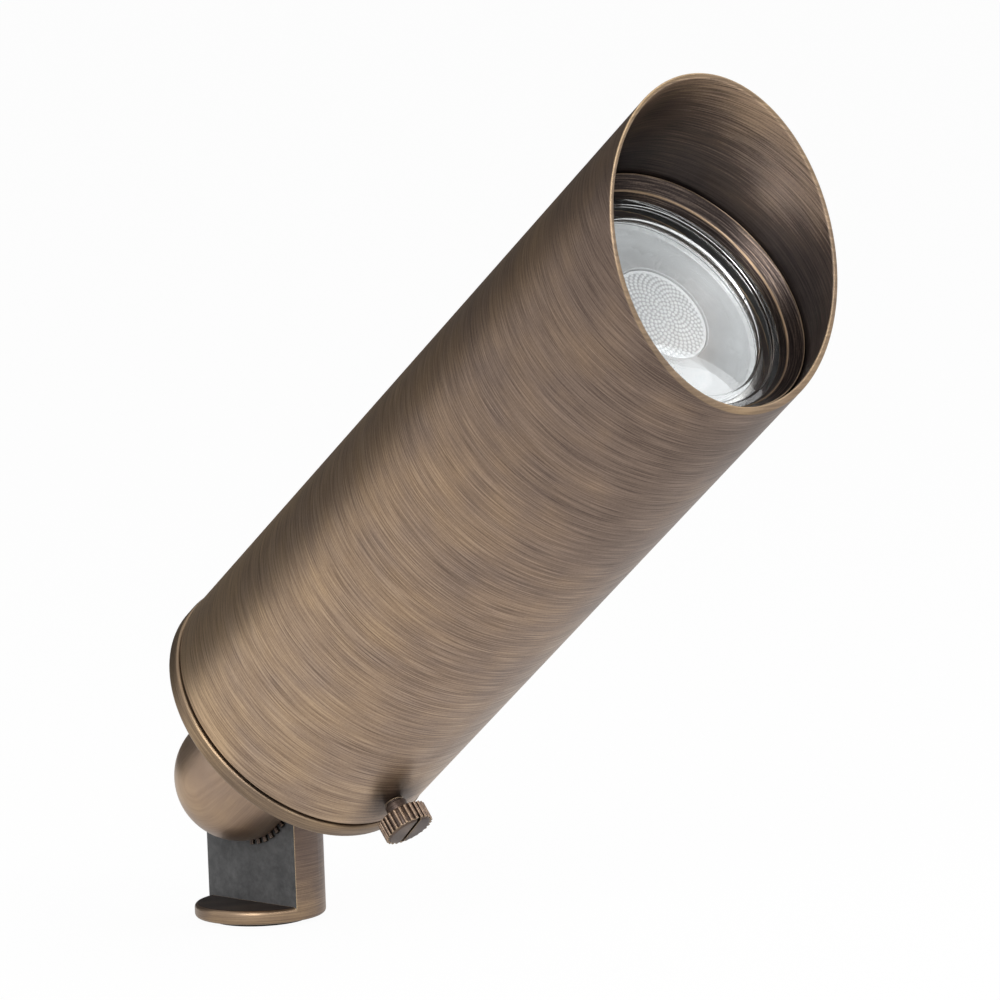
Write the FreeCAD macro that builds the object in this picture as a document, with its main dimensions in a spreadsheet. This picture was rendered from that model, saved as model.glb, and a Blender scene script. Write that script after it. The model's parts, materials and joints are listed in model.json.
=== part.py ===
"""Tilting brass spotlight for gardens and porches.

A threaded foot carries a half-lap knuckle. The knuckle holds a sealed round housing with a
reflector lamp behind a stepped glass, and a long hood slides over the housing and is locked
by a thumbscrew.

Row frame: the origin is the centre of the foot's underside, +Z is up, the head points
towards +X, and the knuckle hinges about the Y direction.
Head frame: the origin is on the pivot axis, Z runs along the housing towards the lens, X
points to the underside where the thumbscrew sits, and Y is the row's Y.
All lengths are in millimetres and all angles in degrees.
"""
import FreeCAD, Part
import math
import os
import Sketcher

SIZES = (
    # posture and knuckle
    ("tilt_angle", 38.6, "head axis above the horizontal"),
    ("pivot_height", 31.7, "pivot axis above the foot's underside"),
    ("knuckle_radius", 14.5, "foot, column and ball"),
    ("flat_offset", 2.2, "lap face of the lower knuckle behind the column's axis"),
    ("foot_thickness", 3.2, "disc under the column"),
    ("foot_round", 1.0, "rounding of the foot's rim"),
    ("shoulder_gap", 1.0, "round top of the lower knuckle to the upper one's shoulder"),
    ("foot_thread_radius", 4.5, "threaded hole in the foot"),
    ("foot_thread_depth", 2.7, "full thread in the foot"),
    ("channel_radius", 3.6, "upright wire channel in the column"),
    ("channel_skin", 2.0, "wall between the wire channel and the lap face"),
    ("channel_rise", 2.0, "upright wire channel above the wire hole to the lap face"),
    ("crossing_radius", 2.6, "wire hole from the column to the lap face"),
    ("gasket_play", 0.8, "foot gasket's hole to the thread"),
    ("gasket_width", 5.2, "foot gasket from its hole to its rim"),
    ("gasket_thickness", 0.9, "foot gasket"),
    # pivot fastening
    ("bolt_radius", 3.0, "pivot bolt"),
    ("bolt_length", 20.4, "pivot bolt under its head"),
    ("bolt_head_rim", 2.0, "pivot bolt head beyond the bolt"),
    ("bolt_head_height", 4.6, "pivot bolt head"),
    ("hex_radius", 2.9, "hexagon recess across corners, halved"),
    ("hex_depth", 3.0, "hexagon recess"),
    ("bolt_clearance", 0.3, "pivot bolt to the holes that it passes"),
    ("thread_clearance", 0.05, "screws and spigots to their threads"),
    ("thread_end", 0.6, "blind thread beyond the screw's tip"),
    ("counterbore_play", 0.4, "recess for the bolt head around its washer"),
    ("clamped_wall", 8.7, "lap face to the recess for the bolt head"),
    ("washer_rim", 2.8, "pivot washer beyond the bolt"),
    ("washer_thickness", 1.0, "pivot washer"),
    ("tooth_inset", 0.3, "serrated washer inside the knuckle's edge"),
    ("tooth_width", 1.5, "serrated washer"),
    ("tooth_thickness", 0.9, "serrated washer"),
    ("tooth_clearance", 0.1, "serrated washer to the upper knuckle"),
    ("race_wall", 3.8, "bolt to the ring-shaped wire recess in the upper knuckle"),
    ("race_land", 0.4, "wire recess to the serrated washer"),
    ("race_depth", 4.0, "ring-shaped wire recess in the upper knuckle"),
    ("spigot_radius", 8.0, "threaded end of the upper knuckle"),
    ("spigot_length", 11.3, "threaded end beyond the knuckle"),
    ("spigot_bore", 3.2, "wire bore along the upper knuckle"),
    # base plate and its fastening
    ("flange_rear", 24.7, "back of the flange along the head's axis"),
    ("flange_thickness", 3.7, "flange"),
    ("flange_lip", 0.35, "flange beyond the hood"),
    ("flange_chamfer", 0.35, "flange edges"),
    ("collar_length", 11.6, "threaded collar inside the housing"),
    ("collar_wall", 2.8, "threaded collar inside the housing"),
    ("seal_play", 0.04, "rubber ring to its seat"),
    ("seal_land", 1.45, "spigot hole to the groove behind the flange"),
    ("knuckle_seal_depth", 1.3, "groove behind the flange"),
    ("nut_wall", 5.2, "knuckle nut's corners beyond the spigot"),
    ("nut_thickness", 5.2, "knuckle nut"),
    ("nut_washer_rim", 5.0, "washer under the knuckle nut beyond the spigot"),
    ("nut_washer_thickness", 1.3, "washer under the knuckle nut"),
    ("plug_length", 6.0, "wire plug inside the spigot"),
    ("plug_lip", 2.0, "wire plug head beyond its bore"),
    ("plug_head_thickness", 1.6, "wire plug head"),
    # housing
    ("housing_front", 171.0, "lens seat along the head's axis"),
    ("lamp_play", 1.85, "lamp rim to the housing's bore"),
    ("plate_step", 0.4, "narrower bore behind the socket plate"),
    ("neck_wall", 1.8, "housing under the lens ring"),
    ("neck_step", 0.8, "housing's outside beyond the lens ring's thread"),
    ("neck_length", 14.0, "thread under the lens ring"),
    ("ring_groove_depth", 0.9, "groove for the lens ring's seal"),
    ("ring_groove_inset", 3.4, "lens ring's seal from the end of the neck"),
    ("collar_groove_depth", 1.1, "groove for the housing's seal"),
    ("collar_groove_inset", 3.0, "housing's seal from the flange"),
    ("hood_groove_depth", 0.85, "groove for the hood's seal"),
    ("hood_groove_inset", 4.7, "hood's seal from the flange"),
    ("groove_slack", 0.4, "groove wider than its rubber ring"),
    ("snap_wall", 2.0, "snap rings"),
    ("snap_thickness", 1.2, "snap rings"),
    ("snap_depth", 0.6, "snap rings into their grooves"),
    ("snap_play", 0.05, "snap rings in their grooves"),
    ("snap_mouth", 14.0, "opening of the snap rings"),
    # socket
    ("plate_thickness", 1.5, "socket plate"),
    ("plate_play", 0.1, "socket plate in its bore"),
    ("socket_length", 22.0, "socket, across its screws"),
    ("socket_width", 11.0, "socket"),
    ("socket_height", 13.8, "socket"),
    ("screw_inset", 3.2, "socket screws from the socket's ends"),
    ("screw_radius", 1.45, "socket screws"),
    ("screw_head_radius", 2.7, "socket screws"),
    ("screw_head_height", 1.8, "socket screws"),
    ("screw_grip", 5.4, "socket screws into the socket"),
    ("pin_spacing", 5.33, "lamp pins"),
    ("pin_radius", 0.775, "lamp pins"),
    ("pin_length", 7.0, "lamp pins"),
    ("pin_play", 0.075, "lamp pins in their contacts"),
    ("contact_wall", 0.6, "spring contacts"),
    ("contact_length", 9.4, "spring contacts"),
    ("lead_radius", 1.0, "insulated leads"),
    ("lead_play", 0.1, "insulated leads in their holes"),
    ("lead_gap", 0.7, "between the leads in the plug"),
    ("lead_bow", 8.5, "leads from the axis halfway"),
    ("lead_straight", 9.0, "leads straight beyond the plug and the plate"),
    # lamp
    ("lamp_radius", 24.75, "lamp rim"),
    ("lamp_rim_height", 3.0, "lamp rim"),
    ("lamp_front_gap", 0.5, "lamp front to the glass"),
    ("lamp_bowl_height", 27.6, "reflector from its rim to its root"),
    ("lamp_root_radius", 9.6, "reflector root"),
    ("lamp_bowl_bend", 34.0, "curve of the reflector"),
    ("lamp_wall", 1.3, "reflector wall"),
    ("lamp_base_length", 17.0, "lamp base"),
    ("lamp_base_width", 9.0, "lamp base"),
    ("lamp_base_height", 11.2, "lamp base"),
    ("base_gap", 0.2, "lamp base to the socket"),
    ("cover_thickness", 1.6, "clear cover in the lamp rim"),
    ("cover_play", 0.1, "clear cover in the lamp rim"),
    ("optic_radius", 11.3, "dimpled centre lens"),
    ("optic_height", 7.0, "dimpled centre lens"),
    # lens and ring
    ("lens_gasket_thickness", 1.3, "lens gasket"),
    ("lens_inset", 0.5, "glass inside the lens ring's thread"),
    ("lens_thickness", 4.0, "glass at its rim"),
    ("lens_step_inset", 1.3, "first step of the glass inside the ring's lip"),
    ("lens_step_width", 2.8, "second step of the glass inside the first"),
    ("lens_step_drop", 0.75, "each step of the glass"),
    ("ring_slide", 0.45, "lens ring to the hood"),
    ("ring_play", 0.1, "lens ring to neck and glass"),
    ("ring_grip", 1.4, "lens ring over the glass"),
    ("ring_line_width", 1.0, "edge between the slopes outside the lip"),
    ("ring_line_height", 1.7, "edge between the slopes before the glass"),
    ("ring_height", 4.7, "lens ring before the glass"),
    ("ring_edge", 0.25, "flat on the lens ring's front"),
    ("ring_rear_gap", 0.3, "lens ring to the housing's shoulder"),
    # hood
    ("hood_play", 1.05, "hood to the housing"),
    ("hood_wall", 1.5, "hood"),
    ("hood_gap", 0.8, "hood to the flange"),
    ("mouth_lead", 0.8, "bottom of the mouth before the lens ring"),
    ("mouth_rake", 30.6, "top of the mouth before its bottom"),
    # thumbscrew
    ("thumb_inset", 8.4, "thumbscrew from the hood's rear"),
    ("thumb_radius", 5.7, "thumbscrew head"),
    ("thumb_height", 4.5, "thumbscrew head"),
    ("thumb_chamfer", 0.5, "thumbscrew head"),
    ("thumb_neck_radius", 2.45, "thumbscrew neck"),
    ("thumb_neck_height", 3.2, "thumbscrew neck"),
    ("thumb_thread_radius", 2.0, "thumbscrew thread"),
    ("thumb_pad_radius", 1.5, "soft pad on the thumbscrew's tip"),
    ("thumb_pad_height", 0.5, "soft pad on the thumbscrew's tip"),
    ("thumb_pad_gap", 0.25, "soft pad to the housing with the thumbscrew tight"),
    ("thumb_travel", 0.65, "thumbscrew backed off from tight"),
    ("slot_width", 1.0, "screwdriver slot"),
    ("slot_depth", 1.6, "screwdriver slot"),
    ("flute_count", 26, "flutes around the thumbscrew"),
    ("flute_radius", 0.5, "flutes around the thumbscrew"),
    ("flute_depth", 0.32, "flutes around the thumbscrew"),
)

ROW_X = FreeCAD.Vector(1, 0, 0)
ROW_Y = FreeCAD.Vector(0, 1, 0)
ROW_Z = FreeCAD.Vector(0, 0, 1)
RIGHT_ANGLE = 90.0
FULL_TURN = 360.0

doc = FreeCAD.newDocument("Spotlight")
sheet = doc.addObject("Spreadsheet::Sheet", "Size")
parts = []


class Measure:
    """A size as a number, together with the formula that ties it to the sheet."""

    def __init__(self, value, formula):
        self.value = value
        self.formula = formula

    def join(self, sign, other, value, flipped=False):
        other_formula = other.formula if isinstance(other, Measure) else repr(other)
        ends = (other_formula, self.formula) if flipped else (self.formula, other_formula)
        return Measure(value, "(%s %s %s)" % (ends[0], sign, ends[1]))

    def __add__(self, other):
        return self.join("+", other, self.value + number(other))

    def __sub__(self, other):
        return self.join("-", other, self.value - number(other))

    def __mul__(self, other):
        return self.join("*", other, self.value * number(other))

    def __truediv__(self, other):
        return self.join("/", other, self.value / number(other))

    def __rsub__(self, other):
        return self.join("-", other, number(other) - self.value, flipped=True)

    def __neg__(self):
        return Measure(-self.value, "(-%s)" % self.formula)


class Bend:
    """An arc to the next corner of an outline, curved to the left or right of the way there."""

    def __init__(self, radius, left):
        self.radius = radius
        self.left = left


def number(size):
    return size.value if isinstance(size, Measure) else float(size)


class Sizes:
    """The driving dimensions by name."""


size = Sizes()
for row, (alias, value, note) in enumerate(SIZES, start=1):
    sheet.set("A%d" % row, note)
    sheet.set("B%d" % row, str(value))
    sheet.setAlias("B%d" % row, alias)
    setattr(size, alias, Measure(value, "Size.%s" % alias))
doc.recompute()

ORIGIN = size.flange_rear * 0

# ---------------------------------------------------------------- places that pieces share
# around the pivot
head_shift = size.flat_offset * 2
lap_face = -size.flat_offset
upper_lap_face = head_shift - size.flat_offset - size.tooth_thickness - size.tooth_clearance
tooth_outer = size.knuckle_radius - size.tooth_inset
tooth_inner = tooth_outer - size.tooth_width
race_inner = size.bolt_radius + size.race_wall
race_outer = tooth_inner - size.race_land
washer_radius = size.bolt_radius + size.washer_rim
recess_floor = size.clamped_wall - size.flat_offset
bolt_seat = recess_floor + size.washer_thickness
bolt_tip = bolt_seat - size.bolt_length
crossing_height = size.pivot_height - race_outer + size.crossing_radius
channel_offset = size.channel_radius + size.channel_skin - size.flat_offset
channel_top = crossing_height + size.channel_rise
shoulder = size.knuckle_radius + size.shoulder_gap

# outwards from the lamp, about the head's axis
lamp_bore = size.lamp_radius + size.lamp_play
plate_bore = lamp_bore - size.plate_step
collar_radius = plate_bore - size.thread_clearance
neck_radius = lamp_bore + size.neck_wall
lens_radius = neck_radius - size.lens_inset
ring_bore = neck_radius + size.ring_play
ring_lip = lens_radius - size.ring_grip
housing_radius = neck_radius + size.neck_step
hood_bore = housing_radius + size.hood_play
hood_radius = hood_bore + size.hood_wall
ring_radius = hood_bore - size.ring_slide
flange_radius = hood_radius + size.flange_lip
spigot_hole = size.spigot_radius + size.thread_clearance
lead_hole = size.lead_radius + size.lead_play
lead_offset = size.lead_radius + size.lead_gap / 2
screw_offset = size.socket_length / 2 - size.screw_inset
pin_offset = size.pin_spacing / 2

# forwards along the head's axis from the flange
flange_front = size.flange_rear + size.flange_thickness
spigot_end = size.flange_rear + size.spigot_length
nut_seat = flange_front + size.nut_washer_thickness
plug_rear = spigot_end - size.plug_length
hood_rear = flange_front + size.hood_gap
thumb_axis = hood_rear + size.thumb_inset
neck_rear = size.housing_front - size.neck_length
lens_rear = size.housing_front + size.lens_gasket_thickness
lens_front = lens_rear + size.lens_thickness
ring_front = lens_front + size.ring_height
mouth_bottom = ring_front + size.mouth_lead
mouth_top = mouth_bottom + size.mouth_rake

# backwards from the glass to the socket plate
lamp_front = lens_rear - size.lamp_front_gap
lamp_rim_rear = lamp_front - size.lamp_rim_height
lamp_root = lamp_front - size.lamp_bowl_height
lamp_base_rear = lamp_root - size.lamp_base_height
socket_front = lamp_base_rear - size.base_gap
plate_front = socket_front - size.socket_height
plate_rear = plate_front - size.plate_thickness
contact_rear = socket_front - size.contact_length

# outwards through the hood's wall at the thumbscrew
thumb_seat = hood_radius + size.thumb_neck_height
thumb_top = thumb_seat + size.thumb_height
pad_tip = housing_radius + size.thumb_pad_gap + size.thumb_travel
pad_top = pad_tip + size.thumb_pad_height

# thickness of the rubber rings that fill their grooves
knuckle_seal = size.knuckle_seal_depth - size.seal_play
housing_seal = size.collar_groove_depth + size.thread_clearance - size.seal_play * 2
ring_seal = size.ring_groove_depth + size.ring_play - size.seal_play * 2
hood_seal = size.hood_groove_depth + size.hood_play - size.seal_play * 3


# ---------------------------------------------------------------- ways of making
def new_body(label):
    """Start a piece in the row frame."""
    body = doc.addObject("PartDesign::Body", label)
    body.Label = label
    parts.append(body)
    return body


def put_in_head(body):
    """Carry a piece modelled in the head frame to the tilted head."""
    turn = FreeCAD.Rotation(ROW_Y, RIGHT_ANGLE - size.tilt_angle.value)
    base = FreeCAD.Vector(0, -head_shift.value, size.pivot_height.value)
    body.Placement = FreeCAD.Placement(base, turn)
    body.setExpression("Placement.Base.y", (-head_shift).formula)
    body.setExpression("Placement.Base.z", size.pivot_height.formula)
    body.setExpression("Placement.Rotation.Angle", "(90 - %s) * 1 deg" % size.tilt_angle.formula)
    return body


def plane_of(body, role):
    return [feature for feature in body.Origin.OriginFeatures if feature.Role == role][0]


def new_sketch(body, role):
    sketch = body.newObject("Sketcher::SketchObject", "%s_sketch" % body.Name)
    sketch.AttachmentSupport = [(plane_of(body, role), "")]
    sketch.MapMode = "FlatFace"
    return sketch


def pin_point(sketch, curve, end, across, up):
    """Hold one point of a sketch at two bound distances from the origin."""
    for kind, wanted, axis in (("DistanceX", across, -2), ("DistanceY", up, -1)):
        if number(wanted) == 0:
            sketch.addConstraint(Sketcher.Constraint("PointOnObject", curve, end, axis))
            continue
        index = sketch.addConstraint(
            Sketcher.Constraint(kind, -1, 1, curve, end, number(wanted)))
        sketch.setExpression("Constraints[%d]" % index, wanted.formula)


def bend_curve(start, finish, bend):
    """The arc between two points, and its ends in the order of travel."""
    run = finish - start
    side = FreeCAD.Vector(-run.y, run.x, 0).normalize()
    reach = math.sqrt(bend.radius.value ** 2 - (run.Length / 2) ** 2)
    centre = (start + finish) * 0.5 + side * (reach if bend.left else -reach)
    angles = [math.atan2(point.y - centre.y, point.x - centre.x) for point in (start, finish)]
    if not bend.left:
        angles.reverse()
    circle = Part.Circle(centre, ROW_Z, bend.radius.value)
    ends = (1, 2) if bend.left else (2, 1)
    return Part.ArcOfCircle(circle, angles[0], angles[1]), ends


def draw(body, role, outline):
    """A closed outline of corners, joined by lines or by the bends between them."""
    sketch = new_sketch(body, role)
    corners = [step for step in outline if isinstance(step, tuple)]
    bends = {}
    for position, step in enumerate(outline):
        if isinstance(step, Bend):
            bends[sum(isinstance(earlier, tuple) for earlier in outline[:position]) - 1] = step
    spots = [FreeCAD.Vector(number(across), number(up), 0) for across, up in corners]
    sides = []
    for index, start in enumerate(spots):
        finish = spots[(index + 1) % len(spots)]
        if index in bends:
            curve, ends = bend_curve(start, finish, bends[index])
        else:
            curve, ends = Part.LineSegment(start, finish), (1, 2)
        sides.append((sketch.addGeometry(curve, False), ends))
    for index, (curve, ends) in enumerate(sides):
        after, after_ends = sides[(index + 1) % len(sides)]
        sketch.addConstraint(
            Sketcher.Constraint("Coincident", curve, ends[1], after, after_ends[0]))
        pin_point(sketch, curve, ends[0], *corners[index])
        if index in bends:
            row = sketch.addConstraint(
                Sketcher.Constraint("Radius", curve, bends[index].radius.value))
            sketch.setExpression("Constraints[%d]" % row, bends[index].radius.formula)
    return sketch


def draw_circle(body, role, across, up, radius):
    sketch = new_sketch(body, role)
    centre = FreeCAD.Vector(number(across), number(up), 0)
    curve = sketch.addGeometry(Part.Circle(centre, ROW_Z, radius.value), False)
    pin_point(sketch, curve, 3, across, up)
    row = sketch.addConstraint(Sketcher.Constraint("Radius", curve, radius.value))
    sketch.setExpression("Constraints[%d]" % row, radius.formula)
    return sketch


def add_axis(sketch, up):
    """A level centre line in a sketch, for pieces whose axis is off the origin."""
    start = FreeCAD.Vector(0, up.value, 0)
    finish = FreeCAD.Vector(1, up.value, 0)
    line = sketch.addGeometry(Part.LineSegment(start, finish), True)
    pin_point(sketch, line, 1, ORIGIN, up)
    sketch.addConstraint(Sketcher.Constraint("Horizontal", line))
    sketch.addConstraint(Sketcher.Constraint("Distance", line, 1.0))
    return "Axis0"


def turn(body, kind, sketch, axis, angle=FULL_TURN, middle=False):
    feature = body.newObject("PartDesign::%s" % kind, "%s_turn" % body.Name)
    feature.Profile = sketch
    feature.ReferenceAxis = (sketch, [axis])
    feature.Angle = angle
    feature.Midplane = middle
    return feature


def turned(label, outline):
    """A piece turned about the Z axis of its frame."""
    body = new_body(label)
    turn(body, "Revolution", draw(body, "XZ_Plane", outline), "V_Axis")
    return body


def ring_outline(inner, outer, low, high):
    return [(inner, low), (outer, low), (outer, high), (inner, high)]


def rubber_ring(label, middle_radius, thickness, height):
    """A round-section ring about the Z axis."""
    body = new_body(label)
    sketch = draw_circle(body, "XZ_Plane", middle_radius, height, thickness / 2)
    turn(body, "Revolution", sketch, "V_Axis")
    return put_in_head(body)


def cut_through(body, role, outline):
    """Cut an outline right through, on both sides of its plane."""
    pocket = body.newObject("PartDesign::Pocket", "%s_cut" % body.Name)
    pocket.Profile = draw(body, role, outline)
    pocket.Type = "ThroughAll"
    pocket.Midplane = True
    return pocket


def place_feature(feature, spot, direction):
    feature.Placement = FreeCAD.Placement(
        FreeCAD.Vector(*[number(part) for part in spot]), FreeCAD.Rotation(ROW_Z, direction))
    for letter, part in zip("xyz", spot):
        feature.setExpression("Placement.Base.%s" % letter, part.formula)


def cylinder(body, kind, radius, length, spot, direction=ROW_Z):
    """A round boss or hole that starts at a spot and runs along a direction."""
    feature = body.newObject("PartDesign::%sCylinder" % kind, "%s_round" % body.Name)
    feature.setExpression("Radius", radius.formula)
    feature.setExpression("Height", length.formula)
    place_feature(feature, spot, direction)
    return feature


def box(body, kind, low, high):
    """A block between two corners."""
    feature = body.newObject("PartDesign::%sBox" % kind, "%s_block" % body.Name)
    for side, near, far in zip(("Length", "Width", "Height"), low, high):
        feature.setExpression(side, (far - near).formula)
    place_feature(feature, low, ROW_Z)
    return feature


def prism(body, kind, radius, length, spot, direction=ROW_Z):
    """A hexagon that starts at a spot and runs along a direction."""
    feature = body.newObject("PartDesign::%sPrism" % kind, "%s_hexagon" % body.Name)
    feature.Polygon = 6
    feature.setExpression("Circumradius", radius.formula)
    feature.setExpression("Height", length.formula)
    place_feature(feature, spot, direction)
    return feature


def dress(body, kind, amount, wanted):
    """Round or chamfer the edges of the piece so far that a test picks out."""
    doc.recompute()
    base = body.Tip
    names = ["Edge%d" % index for index, edge in enumerate(base.Shape.Edges, start=1) if wanted(edge)]
    feature = body.newObject("PartDesign::%s" % kind, "%s_edge" % body.Name)
    feature.Base = (base, names)
    feature.setExpression("Radius" if kind == "Fillet" else "Size", amount.formula)
    return feature


def on_level(level, radius):
    """Pick round edges of one radius, square to Z and at one height."""
    def wanted(edge):
        curve = edge.Curve
        if not isinstance(curve, Part.Circle):
            return False
        flat = abs(curve.Center.z - number(level)) < 1e-4
        return flat and abs(curve.Radius - number(radius)) < 1e-4
    return wanted


def group(label, solids):
    """Several loose solids of one kind that share a node."""
    feature = doc.addObject("Part::Feature", label)
    feature.Label = label
    feature.Shape = Part.makeCompound(solids)
    parts.append(feature)
    return put_in_head(feature)


# ---------------------------------------------------------------- foot and knuckle
def make_knuckle_lower():
    """Foot disc and half-lapped column with a round top."""
    body = new_body("knuckle_lower")
    top = size.pivot_height + size.knuckle_radius
    stock = draw(body, "XZ_Plane", [
        (ORIGIN, ORIGIN), (size.knuckle_radius, ORIGIN), (size.knuckle_radius, top), (ORIGIN, top)])
    turn(body, "Revolution", stock, "V_Axis")
    beyond = size.knuckle_radius * 1.5
    cut_through(body, "YZ_Plane", [
        (-beyond, size.foot_thickness), (lap_face, size.foot_thickness),
        (lap_face, top + beyond), (-beyond, top + beyond)])
    crown = draw(body, "YZ_Plane", [
        (-beyond, top), (beyond, top), (beyond, top + beyond), (-beyond, top + beyond)])
    turn(body, "Groove", crown, add_axis(crown, size.pivot_height), FULL_TURN / 2, middle=True)
    dress(body, "Fillet", size.foot_round, on_level(0, size.knuckle_radius))
    dress(body, "Fillet", size.foot_round, on_level(size.foot_thickness, size.knuckle_radius))
    cylinder(body, "Subtractive", size.foot_thread_radius, size.foot_thread_depth,
             (ORIGIN, ORIGIN, ORIGIN))
    cylinder(body, "Subtractive", size.channel_radius, channel_top - size.foot_thread_depth,
             (ORIGIN, channel_offset, size.foot_thread_depth))
    cylinder(body, "Subtractive", size.crossing_radius, channel_offset + size.flat_offset,
             (ORIGIN, lap_face, crossing_height), ROW_Y)
    cylinder(body, "Subtractive", size.bolt_radius + size.bolt_clearance, beyond,
             (ORIGIN, lap_face, size.pivot_height), ROW_Y)
    cylinder(body, "Subtractive", washer_radius + size.counterbore_play, beyond,
             (ORIGIN, recess_floor, size.pivot_height), ROW_Y)


def make_foot_gasket():
    inner = size.foot_thread_radius + size.gasket_play
    turned("foot_gasket", ring_outline(
        inner, inner + size.gasket_width, -size.gasket_thickness, ORIGIN))


def pivot_ring(label, inner, outer, near, far):
    """A washer on the pivot axis, between two places along Y."""
    body = new_body(label)
    sketch = draw(body, "YZ_Plane", [
        (near, size.pivot_height + inner), (far, size.pivot_height + inner),
        (far, size.pivot_height + outer), (near, size.pivot_height + outer)])
    turn(body, "Revolution", sketch, add_axis(sketch, size.pivot_height))


def make_pivot_fasteners():
    """Bolt with a hexagon recess, its washer and the serrated washer in the lap."""
    pivot_ring("pivot_washer", size.bolt_radius + size.bolt_clearance, washer_radius,
               recess_floor, bolt_seat)
    pivot_ring("tooth_washer", tooth_inner, tooth_outer,
               lap_face - size.tooth_thickness, lap_face)
    body = new_body("pivot_bolt")
    head_end = bolt_seat + size.bolt_head_height
    axis_level = size.pivot_height
    head_level = axis_level + size.bolt_radius + size.bolt_head_rim
    sketch = draw(body, "YZ_Plane", [
        (bolt_tip, axis_level), (bolt_tip, axis_level + size.bolt_radius),
        (bolt_seat, axis_level + size.bolt_radius), (bolt_seat, head_level),
        (head_end, head_level), (head_end, axis_level)])
    turn(body, "Revolution", sketch, add_axis(sketch, axis_level))
    prism(body, "Subtractive", size.hex_radius, size.hex_depth,
          (ORIGIN, head_end - size.hex_depth, axis_level), ROW_Y)


def make_knuckle_upper():
    """Ball-ended bar, lapped on one side, with a threaded hollow spigot."""
    body = new_body("knuckle_upper")
    radius = size.knuckle_radius
    turn(body, "Revolution", draw(body, "XZ_Plane", [
        (ORIGIN, -radius), Bend(radius, True), (radius, ORIGIN), (radius, size.flange_rear),
        (size.spigot_radius, size.flange_rear), (size.spigot_radius, spigot_end),
        (ORIGIN, spigot_end)]), "V_Axis")
    beyond = radius * 1.5
    cut_through(body, "YZ_Plane", [
        (upper_lap_face, -beyond), (beyond, -beyond), (beyond, shoulder), (upper_lap_face, shoulder)])
    race_floor = upper_lap_face - size.race_depth
    race = draw(body, "YZ_Plane", [
        (race_floor, race_inner), (upper_lap_face, race_inner),
        (upper_lap_face, race_outer), (race_floor, race_outer)])
    turn(body, "Groove", race, "H_Axis")
    thread_floor = bolt_tip + head_shift - size.thread_end
    cylinder(body, "Subtractive", size.bolt_radius + size.thread_clearance,
             upper_lap_face - thread_floor, (ORIGIN, thread_floor, ORIGIN), ROW_Y)
    bore_start = race_inner + size.spigot_bore / 2
    cylinder(body, "Subtractive", size.spigot_bore, spigot_end - bore_start,
             (ORIGIN, ORIGIN, bore_start))
    put_in_head(body)


# ---------------------------------------------------------------- base plate
def make_base_plate():
    """Flange with a threaded collar, a groove for the knuckle's seal and one for the housing's."""
    collar_end = flange_front + size.collar_length
    collar_bore = collar_radius - size.collar_wall
    groove_low = flange_front + size.collar_groove_inset
    groove_high = groove_low + size.collar_groove_depth + size.groove_slack
    groove_floor = collar_radius - size.collar_groove_depth
    body = turned("base_plate", [
        (spigot_hole, size.flange_rear), (flange_radius, size.flange_rear),
        (flange_radius, flange_front), (collar_radius, flange_front),
        (collar_radius, groove_low), (groove_floor, groove_low),
        (groove_floor, groove_high), (collar_radius, groove_high),
        (collar_radius, collar_end), (collar_bore, collar_end),
        (collar_bore, flange_front), (spigot_hole, flange_front)])
    seal_inner = spigot_hole + size.seal_land
    groove = draw(body, "XZ_Plane", ring_outline(
        seal_inner, seal_inner + size.knuckle_seal_depth + size.groove_slack,
        size.flange_rear, size.flange_rear + size.knuckle_seal_depth))
    turn(body, "Groove", groove, "V_Axis")
    dress(body, "Chamfer", size.flange_chamfer, on_level(size.flange_rear, flange_radius))
    dress(body, "Chamfer", size.flange_chamfer, on_level(flange_front, flange_radius))
    put_in_head(body)


def make_knuckle_fasteners():
    """Seal, washer and nut that hold the knuckle to the flange, and the plug for its wires."""
    seal_middle = spigot_hole + size.seal_land + size.knuckle_seal_depth / 2 + size.seal_play
    rubber_ring("knuckle_seal", seal_middle, knuckle_seal, size.flange_rear + size.knuckle_seal_depth / 2)
    put_in_head(turned("nut_washer", ring_outline(
        spigot_hole, size.spigot_radius + size.nut_washer_rim, flange_front, nut_seat)))
    nut = new_body("knuckle_nut")
    prism(nut, "Additive", size.spigot_radius + size.nut_wall, size.nut_thickness,
          (ORIGIN, ORIGIN, nut_seat))
    cylinder(nut, "Subtractive", spigot_hole, size.nut_thickness, (ORIGIN, ORIGIN, nut_seat))
    put_in_head(nut)
    plug_radius = size.spigot_bore - size.seal_play
    plug_head = size.spigot_bore + size.plug_lip
    plug_front = spigot_end + size.plug_head_thickness
    plug = turned("wire_plug", [
        (ORIGIN, plug_rear), (plug_radius, plug_rear), (plug_radius, spigot_end),
        (plug_head, spigot_end), (plug_head, plug_front), (ORIGIN, plug_front)])
    for offset in (lead_offset, -lead_offset):
        cylinder(plug, "Subtractive", lead_hole, size.plug_length + size.plug_head_thickness,
                 (offset, ORIGIN, plug_rear))
    put_in_head(plug)


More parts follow.
